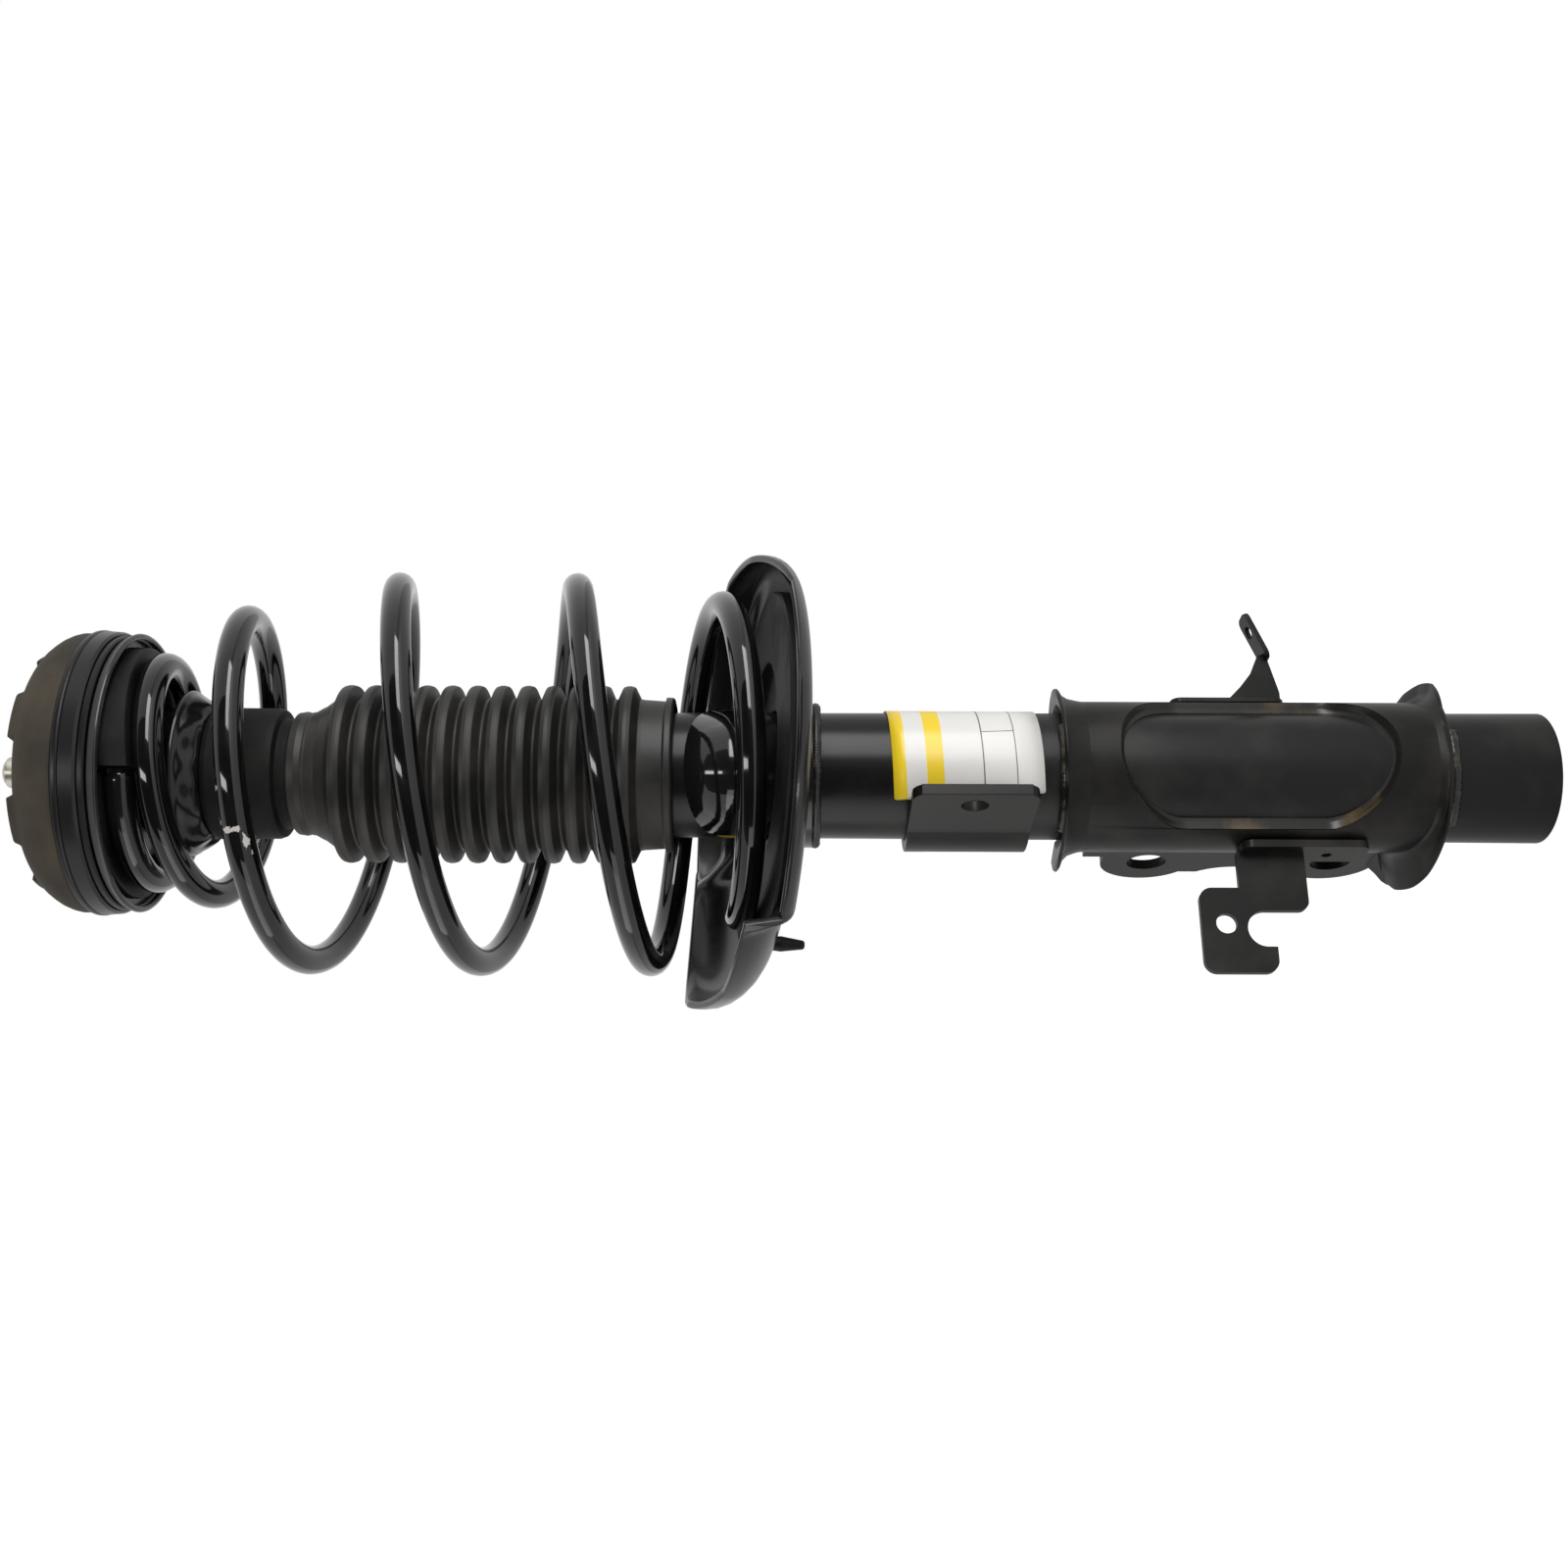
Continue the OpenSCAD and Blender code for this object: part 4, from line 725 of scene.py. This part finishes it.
# %% [markdown]
# ## Upper seat, bearing edges and mount
# Above the top coil the pieces stack as rings: the rubber pad that the wire's end turns into, the
# rolled steel seat, the bearing, the plate and the rubber mount with its seven teeth. The bearing keeps
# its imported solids. The seat and the plate are spun. The pad's underside climbs with the wire, and the
# mount's crown has teeth, so these two are lofted.

# %% Upper pad
flange_z = top("upper_insulator")
dish_r, upper_pad_r = 34.4, 49.5
pad_split = 3.0


def upper_pad_at(u):
    """Section of the pad when the share u of its turn is passed."""
    t = u * (360 - pad_split) / 360
    low = wire_at(t).z + wire_r + 0.3
    a = spring_start - 360 * t
    inner = dish_r + 0.3
    rows = [(inner, low), (upper_pad_r - 1.6, low), (upper_pad_r - 0.4, low + 0.6),
        (upper_pad_r, flange_z - 0.6), (upper_pad_r - 0.6, flange_z), (inner, flange_z)]
    if low > flange_z - 1.4:
        rows[3] = (upper_pad_r, (low + flange_z) / 2)
    return [polar(r, a, z) for r, z in rows]


bm = sheet_of(144, 6, lambda u, v: upper_pad_at(u)[round(v * 6) % 6])
add_piece("upper_pad", bm, "upper_seat", pad_rubber, ["upper_insulator"], crease=35)

# %% Rolled upper seat
seat_top = top("upper_spring_seat")
upper_r, roll, upper_sheet, rod_bore = 54.6, 2.8, 1.8, 14.0
bm = bmesh.new()
spin(bm, outline([(rod_bore, dish_low, 0.4), (dish_r, dish_low, 2.6), (dish_r, flange_z, 0.8),
    (upper_r - upper_sheet, flange_z, 0.6), (upper_r - upper_sheet, flange_z - roll, 0.6),
    (upper_r, flange_z - roll, 0.8), (upper_r, seat_top, 1.8), (dish_r - upper_sheet, seat_top, 1.0),
    (dish_r - upper_sheet, dish_low + upper_sheet, 1.0), (rod_bore, dish_low + upper_sheet, 0.4)]), 160)
add_piece("rolled_seat", bm, "upper_seat", upper_seat_paint, ["upper_spring_seat"])

# %% Plate under the rubber
plate_z, rubber_z, plate_r = foot("mount_plate"), foot("mount_rubber"), reach("mount_plate")
bm = bmesh.new()
spin(bm, outline([(rod_bore, plate_z, 0.3), (plate_r, plate_z, 1.2), (plate_r, rubber_z, 1.2),
    (rod_bore, rubber_z, 0.3)]), 160)
add_piece("plate_ring", bm, "top_mount", plate_paint, ["mount_plate"])

# %% Rubber mount with its teeth
mount_r, crown_r, mount_h = 54.9, 46.4, 17.3
crown_z = rubber_z + mount_h
tooth_h, tooth_span, tooth_start, tooth_count = 2.7, 24.0, -97.0, 7
tooth_pitch, tooth_slope = 360 / tooth_count, 1.7
well_z, core_gap = crown_z - 5, 12.1


def tooth_share(angle):
    """Height of the crown at an angle, from 0 between the teeth to 1 on a tooth."""
    inside = (angle - tooth_start) % tooth_pitch
    if inside <= tooth_span + 1:
        inside = min(inside, tooth_span - inside)
    else:
        inside -= tooth_pitch
    return ease(inside / tooth_slope + 0.5)


def mount_section(angle):
    tooth = tooth_share(angle)
    lift = tooth * tooth_h
    swell = 0.25 * math.sin(math.radians(3 * angle + 40))
    rows = [(core_gap, rubber_z), (mount_r - 0.7, rubber_z), (mount_r - 0.15, rubber_z + 0.5),
        (mount_r, rubber_z + 1.6), (mount_r, rubber_z + mount_h * 0.3),
        (mount_r - 0.5, rubber_z + mount_h * 0.42), (mount_r - 1.6, rubber_z + mount_h * 0.57),
        (mount_r - 3.0, rubber_z + mount_h * 0.7 + swell * 0.4),
        (50.3, rubber_z + mount_h * 0.82 + swell * 0.4), (crown_r + 1.6, crown_z - 1.2),
        (crown_r + 0.5, crown_z - 0.4 + lift * 0.3), (crown_r, crown_z - 0.05 + lift * 0.75),
        (crown_r - 0.7, crown_z + lift), (crown_r - 8.4, crown_z + lift), (crown_r - 9, crown_z + lift * 0.8),
        (crown_r - 9.3, crown_z), (crown_r - 12.4, crown_z), (crown_r - 13.6, crown_z - 0.6),
        (crown_r - 15.6, well_z + 0.5), (crown_r - 17, well_z), (core_gap, well_z)]
    return [polar(r, angle, z) for r, z in rows]


bm = round_loft(504, mount_section)
add_piece("mount_block", bm, "top_mount", mount_rubber, ["mount_rubber"], crease=50)

# %% [markdown]
# ## The piston rod and its threaded end
# The rod is chromed where the seal runs and zinc plated at its threaded end. A thread is a helix, but
# at this size close rings look the same, so the thread is part of the spun outline. The faces above the
# foot of the mount's core take a second material by their height.

# %% Rod
rod_low, rod_top, thread_top = foot("piston_rod"), top("piston_rod"), top("rod_nut") + 1.5
rod_r, thread_r, tip_r, thread_pitch = 10.0, 6.0, 5.5, 1.25
core_low = foot("mount_core")
rebound_z = foot("rebound_stop")
rod_rows = [(0, rod_low), (thread_r - 1, rod_low), (thread_r, rod_low + 1), (thread_r, rebound_z),
    (rod_r, rebound_z), (rod_r, core_low), (thread_r, core_low)]
thread_z = top("rod_nut") - 4 * thread_pitch
rod_rows += [(thread_r, thread_z)]
while thread_z + thread_pitch < thread_top:
    rod_rows += [(thread_r - 0.65, thread_z + thread_pitch * 0.45), (thread_r, thread_z + thread_pitch * 0.9)]
    thread_z += thread_pitch
rod_rows += [(tip_r, thread_top), (tip_r, rod_top - 1.4, 0.4), (tip_r - 1.4, rod_top, 0.6), (0, rod_top)]
bm = bmesh.new()
spin(bm, outline(rod_rows, closed=False), 64, closed=False)
for face in bm.faces:
    face.material_index = int(face.calc_center_median().z / MM > core_low)
add_piece("rod_and_thread", bm, "top_mount", [rod_chrome, zinc], ["piston_rod"], crease=25)

# %% [markdown]
# ## Pressed brackets with rounded edges
# Sheared and pressed plates have small rounded edges that catch the light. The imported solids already
# have the right shapes, so a copy of each is merged, its flat faces are joined again, and its sharp
# edges are bevelled. Drawing every plate a second time would add nothing to the eye.

# %% Copies with bevelled edges
clamp_low, clamp_high, clamp_r = 43.0, 181.0, 29.6


def shaved(bm, sectors):
    """Cuts ring sectors, as (start, sweep, low, high), off outside the clamp's wall."""
    cutter = bmesh.new()
    for start, sweep, low, high in sectors:
        spin(cutter, [(clamp_r + 0.05, low), (clamp_r + 12, low), (clamp_r + 12, high),
            (clamp_r + 0.05, high)], 60, start=start, sweep=sweep)
    bmesh.ops.recalc_face_normals(cutter, faces=cutter.faces)
    helpers = []
    for name, shape in (("solid", bm), ("knife", cutter)):
        helpers.append(new_object(name, bpy.data.meshes.new(name)))
        shape.to_mesh(helpers[-1].data)
    cutter.free()
    cut = helpers[0].modifiers.new("cut", "BOOLEAN")
    cut.operation, cut.solver, cut.object = "DIFFERENCE", "EXACT", helpers[1]
    left = helpers[0].evaluated_get(bpy.context.evaluated_depsgraph_get())
    bm.clear()
    bm.from_mesh(left.to_mesh())
    left.to_mesh_clear()
    for helper in helpers:
        mesh = helper.data
        bpy.data.objects.remove(helper)
        bpy.data.meshes.remove(mesh)


def edged_copy(name, node, body, material, width=0.5, keep=(), shave=()):
    """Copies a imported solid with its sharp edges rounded. Only the heights between keep's two stay."""
    bm = bmesh.new()
    bm.from_mesh(frame["nodes"][node].data)
    bmesh.ops.remove_doubles(bm, verts=bm.verts, dist=0.00001)
    if shave:
        shaved(bm, shave)
    for height, way in zip(keep, (-1, 1)):
        cut = bmesh.ops.bisect_plane(bm, geom=bm.verts[:] + bm.edges[:] + bm.faces[:], dist=0.000001,
            plane_co=(0, 0, height * MM), plane_no=(0, 0, way), clear_outer=True)
        rim = [e for e in cut["geom_cut"] if isinstance(e, bmesh.types.BMEdge)]
        bmesh.ops.triangle_fill(bm, edges=rim, use_beauty=True)
    bmesh.ops.dissolve_limit(bm, angle_limit=math.radians(1.5), verts=bm.verts, edges=bm.edges)
    sharp = math.radians(38)
    edges = [e for e in bm.edges if len(e.link_faces) == 2 and e.calc_face_angle() > sharp]
    bmesh.ops.bevel(bm, geom=edges, offset=width * MM, offset_type="OFFSET", segments=2, profile=0.5,
        affect="EDGES", clamp_overlap=True, material=-1, loop_slide=True)
    return add_piece(name, bm, body, material, [node], crease=35)


packed_lips = ([(start, 75, clamp_low - 4, clamp_low + 9.5) for start in (-31.5, 136.5)]
    + [(start, 41, clamp_high - 3.5, clamp_high + 12) for start in (2.5, 136.5)])
edged_copy("knuckle_clamp", "knuckle_bracket", "damper", bracket_paint,
    keep=(clamp_low + 0.1, clamp_high - 0.1), shave=packed_lips)
edged_copy("sway_link_plate", "sway_link_bracket", "damper", bracket_paint)
edged_copy("hose_plate", "brake_hose_bracket", "damper", bracket_paint, 0.4)
edged_copy("sensor_wire_plate", "sensor_wire_bracket", "damper", bracket_paint, 0.3)
edged_copy("top_nut", "rod_nut", "top_mount", zinc, 0.5)

# %% [markdown]
# ## Stiffening lips of the clamp
# Both ends of the clamp are turned outwards into a lip. It is hardly more than a ridge in front, and
# grows into a broad leaf at each side, where the press had room. The rim's radius and height are read
# from short tables of the angle round the tube, and a strip with the sheet's thickness is swept from
# the clamp's wall out to that rim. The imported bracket's simpler lips were cut off its copy for these.

# %% Clamp lips
facing = math.degrees(math.atan2(towards_camera.y, towards_camera.x))
lip_sheet = 2.6


def swept_lip(bm, start, end, root, rim_r, rim_z, way, steps=150):
    """A turned-out lip between two angles, counted upwards in the picture from the camera's side."""
    def section(angle):
        root_z, out_r, out_z = between(angle, root), between(angle, rim_r), between(angle, rim_z)
        near = min(1.0, min(angle - start, end - angle) / 9)
        fade = math.sqrt(max(0.0, 1 - (1 - near) ** 2))
        out_r = clamp_r + (out_r - clamp_r) * fade
        out_z = root_z + (out_z - root_z) * (0.35 + 0.65 * fade)
        rise, swing = (out_z - root_z), (out_r - clamp_r)
        face = [(clamp_r - 0.3, root_z), (clamp_r + swing * 0.04 + 0.1, root_z + rise * 0.35),
            (clamp_r + swing * 0.22 + 0.1, root_z + rise * 0.68),
            (clamp_r + swing * 0.55, root_z + rise * 0.88),
            (out_r - 0.5, out_z - way * 0.5), (out_r, out_z - way * 0.1), (out_r - 0.1, out_z + way * 0.6)]
        deep = [(out_r - 0.7, out_z + way * 1.1), (clamp_r + swing * 0.45 - 1.2, out_z + way * 0.7),
            (clamp_r + swing * 0.1 - 1.8, root_z + rise * 0.95 + way * 0.8),
            (clamp_r - lip_sheet, root_z + rise * 0.6), (clamp_r - lip_sheet, root_z)]
        return [polar(r, facing + angle, z) for r, z in face + deep]
    rows = len(section(start))
    join_part(bm, sheet_of(steps, rows,
        lambda u, v: section(start + (end - start) * u)[round(v * rows) % rows]))


bm = bmesh.new()
swept_lip(bm, -121, 160, [(0, clamp_high - 3.0)],
    [(-121, 37), (-114, 37.8), (-98, 38.2), (-82, 36), (-66, 32.6), (-40, 31.2), (0, 30.9), (45, 31.2),
        (68, 32.2), (84, 34.2), (100, 35.4), (122, 35), (155, 33)],
    [(-121, 188), (-95, 189), (0, 189.2), (95, 189.6), (160, 187.5)], 1)
swept_lip(bm, -117, 160, [(-117, 61), (-98, 59), (-70, 54), (-35, 50), (0, 49), (60, 49), (90, 50.5),
        (120, 53), (160, 55)],
    [(-112, 44.5), (-100, 45.2), (-84, 43.2), (-66, 39.8), (-48, 36.2), (-30, 33), (-12, 30.9), (40, 30.6),
        (62, 31.6), (76, 34.8), (90, 37.4), (104, 38.6), (118, 38.2), (132, 36), (156, 33)],
    [(-112, 55), (-98, 53), (-70, 48.5), (-35, 45.2), (0, 44.6), (60, 43.6), (90, 42), (104, 43.5),
        (118, 47), (132, 50), (156, 51)], -1)
add_piece("clamp_lips", bm, "damper", bracket_paint, [], crease=50, level=False)

# %% [markdown]
# ## Fillet round the clamp's window
# The tube is welded to the clamp round the window's edge, so no dark gap shows there. A concave strip
# follows the window's outline, which is walked as a round-cornered box, and runs from the clamp's face
# down to the tube. Its own finish carries brown dust.

# %% Window fillet
window_low, window_high, window_half, window_corner = 62.6, 169.0, 27.0, 26.0


def window_point(u):
    """A point of the window's outline, as across and height, with its inward normal."""
    side, high, low = window_half - window_corner, window_high - window_corner, window_low + window_corner
    centres = [Vector((side, high)), Vector((-side, high)), Vector((-side, low)), Vector((side, low))]
    spans = []
    for k, centre in enumerate(centres):
        after = centres[(k + 1) % 4]
        spans += [(math.radians(90) * window_corner, centre, centre, 90 * k, 90),
            ((after - centre).length, centre, after, 90 * k + 90, 0)]
    left = u * sum(span[0] for span in spans)
    for length, start, end, turn, bend in spans:
        if left <= length:
            break
        left -= length
    share = min(1.0, left / length)
    way = math.radians(turn + bend * share)
    middle = start.lerp(end, share)
    outwards = Vector((math.cos(way), math.sin(way)))
    return middle + outwards * window_corner, -outwards


def window_fillet(u, v):
    edge, inwards = window_point(u % 1.0)
    rows = [(-0.3, 28.0), (-0.15, 29.3), (0.3, 29.45), (0.6, 28.7), (0.9, 27.3), (1.3, 26.3), (1.8, 25.75),
        (2.1, 25.3), (-0.3, 25.3)]
    inset, r = rows[round(v * len(rows)) % len(rows)]
    round_by = math.asin(edge.x / clamp_r) + inwards.x * inset / window_half
    return Vector((r * math.sin(round_by), -r * math.cos(round_by), edge.y + inwards.y * inset))


bm = sheet_of(240, 9, window_fillet)
add_piece("window_fillet", bm, "damper", seam_paint, [], crease=50, level=False)

# %% [markdown]
# ## Weld beads
# A bead is a row of small overlapping crescents. Each bead here is a grid bent round an arc of the
# tube, and its girth swells with every crescent and wanders a little with noise. A displaced torus would
# look too even.

# %% Beads round the tube
def bead(bm, r, z, start, sweep, girth, ripple=2.4):
    """Adds a bead at radius r and height z, from an angle and over a sweep in degrees."""
    columns = max(12, round(sweep / ripple * 4))
    part = sheet_of(columns, 10, lambda u, v: Vector((u, v, 0)))
    for vert in part.verts:
        u, v = vert.co.x / MM, vert.co.y / MM
        a = 2 * math.pi * v
        angle = start + sweep * u
        step = (angle + 3 * math.sin(a)) / ripple
        size = girth * (0.9 + 0.16 * abs(math.sin(math.pi * step)))
        if sweep < 360:
            size *= min(1.0, math.sqrt(max(0.02, min(u, 1 - u) * sweep / 3)))
        size *= 1 + 0.14 * smooth_noise(polar(r, angle) * 0.25 + Vector((z, 0, 0)))
        vert.co = polar(r + size * math.cos(a), angle, z + size * math.sin(a)) * MM
    bmesh.ops.remove_doubles(part, verts=part.verts, dist=MERGE)
    join_part(bm, part)


bm = bmesh.new()
bead(bm, tube_r + 1.0, neck_low - 0.9, 0, 360, 1.9)
add_piece("seat_bead", bm, "damper", weld_metal, ["seat_weld"], crease=70, level=False)
bm = bmesh.new()
for start in (8, 132):
    bead(bm, tube_r + 0.9, clamp_high + 0.6, start, 40, 1.7)
    bead(bm, tube_r + 0.9, clamp_low - 0.6, start, 40, 1.7)
bead(bm, tube_r + 1.4, clamp_low - 1.0, 205, 84, 2.6, ripple=5.5)
bead(bm, tube_r + 1.2, clamp_high + 8.6, 195, 100, 1.9, ripple=4.0)
add_piece("bracket_beads", bm, "damper", weld_metal, ["bracket_welds"], crease=70, level=False)

# %% [markdown]
# ## Labels
# Two printed films on the tube: a white one with yellow bands and thin rules, and a black oval with a
# yellow edge. Both are left without words. Each is a flat outline first, cut where a colour or a bend
# falls, then rolled round the tube and given a film's thickness. Cut faces keep the printed edges crisp
# where a painted pattern would blur.

# %% Label films
film_white = finish("label_white", (0.74, 0.73, 0.70), (0.65, 0.63, 0.60), (0.28, 0.4), [(300, 0.004)])
film_yellow = finish("label_yellow", (0.86, 0.62, 0.02), (0.78, 0.56, 0.03), (0.28, 0.4), [(300, 0.004)])
film_black = finish("label_black", (0.008, 0.008, 0.008), (0.02, 0.02, 0.02), (0.08, 0.16), [(60, 0.02)],
    coat=0.5)
film_ink = finish("label_ink", (0.12, 0.12, 0.12), (0.2, 0.2, 0.2), (0.3, 0.4), [(300, 0.004)])


def rolled_film(name, shape, middle, cuts, inks, ink_of, lean=0.0):
    """Rolls a flat outline of (arc length, height) round the tube, with its middle at an angle. The lean
    turns it in its own plane first, as if it had been stuck on a little crooked."""
    rise = sum(z for s, z in shape) / len(shape)
    turn = Matrix.Rotation(math.radians(lean), 2)
    bm = bmesh.new()
    bm.faces.new([bm.verts.new((s * MM, 0, z * MM)) for s, z in shape])
    reach_s = max(abs(s) for s, z in shape)
    bends = [(-reach_s + 1.2 * k, "s") for k in range(1, int(reach_s / 0.6))]
    for value, way in bends + cuts:
        spot, normal = ((value * MM, 0, 0), (1, 0, 0)) if way == "s" else ((0, 0, value * MM), (0, 0, 1))
        bmesh.ops.bisect_plane(bm, geom=bm.verts[:] + bm.edges[:] + bm.faces[:], dist=0.0000001,
            plane_co=spot, plane_no=normal)
    for face in bm.faces:
        mid = face.calc_center_median() / MM
        face.material_index = ink_of(mid.x, mid.z)
    for vert in bm.verts:
        flat = turn @ Vector((vert.co.x / MM, vert.co.z / MM - rise))
        vert.co = polar(tube_r + 0.16, middle + math.degrees(flat.x / tube_r), flat.y + rise) * MM
    for face in bm.faces:
        face.normal_update()
        if face.normal.dot(face.calc_center_median() * Vector((1, 1, 0))) < 0:
            face.normal_flip()
        face.smooth = True
    mesh = bpy.data.meshes.new(name)
    bm.to_mesh(mesh)
    bm.free()
    for ink in inks:
        mesh.materials.append(ink)
    film = new_object(name, mesh)
    thickness = film.modifiers.new("film", "SOLIDIFY")
    thickness.thickness, thickness.offset = 0.14 * MM, -1
    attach(film, "damper")
    print(name, "faces", len(mesh.polygons))


label_low, label_high, label_lean = 196.6, 258.3, 3.0
label_s = [math.radians(a) * tube_r for a in (-72.5, 72.5)]
rounded = outline([(label_s[0], label_low, 3), (label_s[1], label_low, 3), (label_s[1], label_high, 3),
    (label_s[0], label_high, 3)], steps=6)
bands = [(251.2, 260), (236.8, 243.4)]
rules = [(221.3, 221.8), (208.8, 209.2)]
side_rule = (-4.2, -3.8)


def white_label_ink(s, z):
    if any(low < z < high for low, high in bands):
        return 1
    if any(low < z < high for low, high in rules):
        return 2
    if side_rule[0] < s < side_rule[1] and rules[1][1] < z < rules[0][0]:
        return 2
    return 0


cuts = [(edge, "z") for pair in bands + rules for edge in pair] + [(edge, "s") for edge in side_rule]
rolled_film("white_label", rounded, facing + 50, cuts, [film_white, film_yellow, film_ink],
    white_label_ink, label_lean)

oval_z, oval_half_z, oval_half_s, oval_edge = 316.4, 18.6, 36.0, 2.2
oval = [(oval_half_s * math.cos(math.radians(a)), oval_z + oval_half_z * math.sin(math.radians(a)))
    for a in range(0, 360, 4)]


def oval_ink(s, z):
    inner = math.hypot(s / (oval_half_s - oval_edge), (z - oval_z) / (oval_half_z - oval_edge))
    return int(inner > 1)


rolled_film("oval_label", oval, facing + 9.5, [], [film_black, film_yellow], oval_ink)

# %% [markdown]
# ## Inner parts
# The damper's inside and the bearing's balls are never seen from outside, and of the races only the
# edges show. They are there all the same, so each gets the finish that such a part has.

# %% Finishes of the carried solids
sintered = finish("sintered_iron", (0.20, 0.19, 0.18), (0.28, 0.27, 0.26), (0.45, 0.6), [(1500, 0.02)],
    metallic=1.0)
cage_nylon = finish("cage_nylon", (0.70, 0.66, 0.56), (0.62, 0.58, 0.48), (0.4, 0.55), [(700, 0.01)])
ring_band = finish("ring_band", (0.45, 0.36, 0.24), (0.38, 0.30, 0.20), (0.4, 0.55), [(700, 0.01)])
ball_steel = finish("ball_steel", (0.78, 0.79, 0.80), (0.72, 0.73, 0.74), (0.05, 0.1), [(300, 0.002)],
    metallic=1.0)
cap_plastic = finish("cap_plastic", (0.025, 0.025, 0.026), (0.05, 0.05, 0.05), (0.35, 0.5), [(600, 0.02)])
slot_finishes = {"tube_paint": tube_paint, "sintered_iron": sintered, "turned_steel": turned_steel,
    "ring_band": ring_band, "rod_chrome": rod_chrome, "seal_rubber": pad_rubber, "cap_plastic": cap_plastic,
    "bearing_plastic": lower_race_plastic, "race_plastic": race_plastic, "cage_nylon": cage_nylon,
    "ball_steel": ball_steel, "zinc_plate": zinc}
for subpart in frame["record"]["subparts"]:
    solid = frame["nodes"][subpart["node"]]
    carried = slot_finishes.get(subpart["material_slot"])
    if carried:
        for place_in_slot in solid.material_slots:
            place_in_slot.material = carried
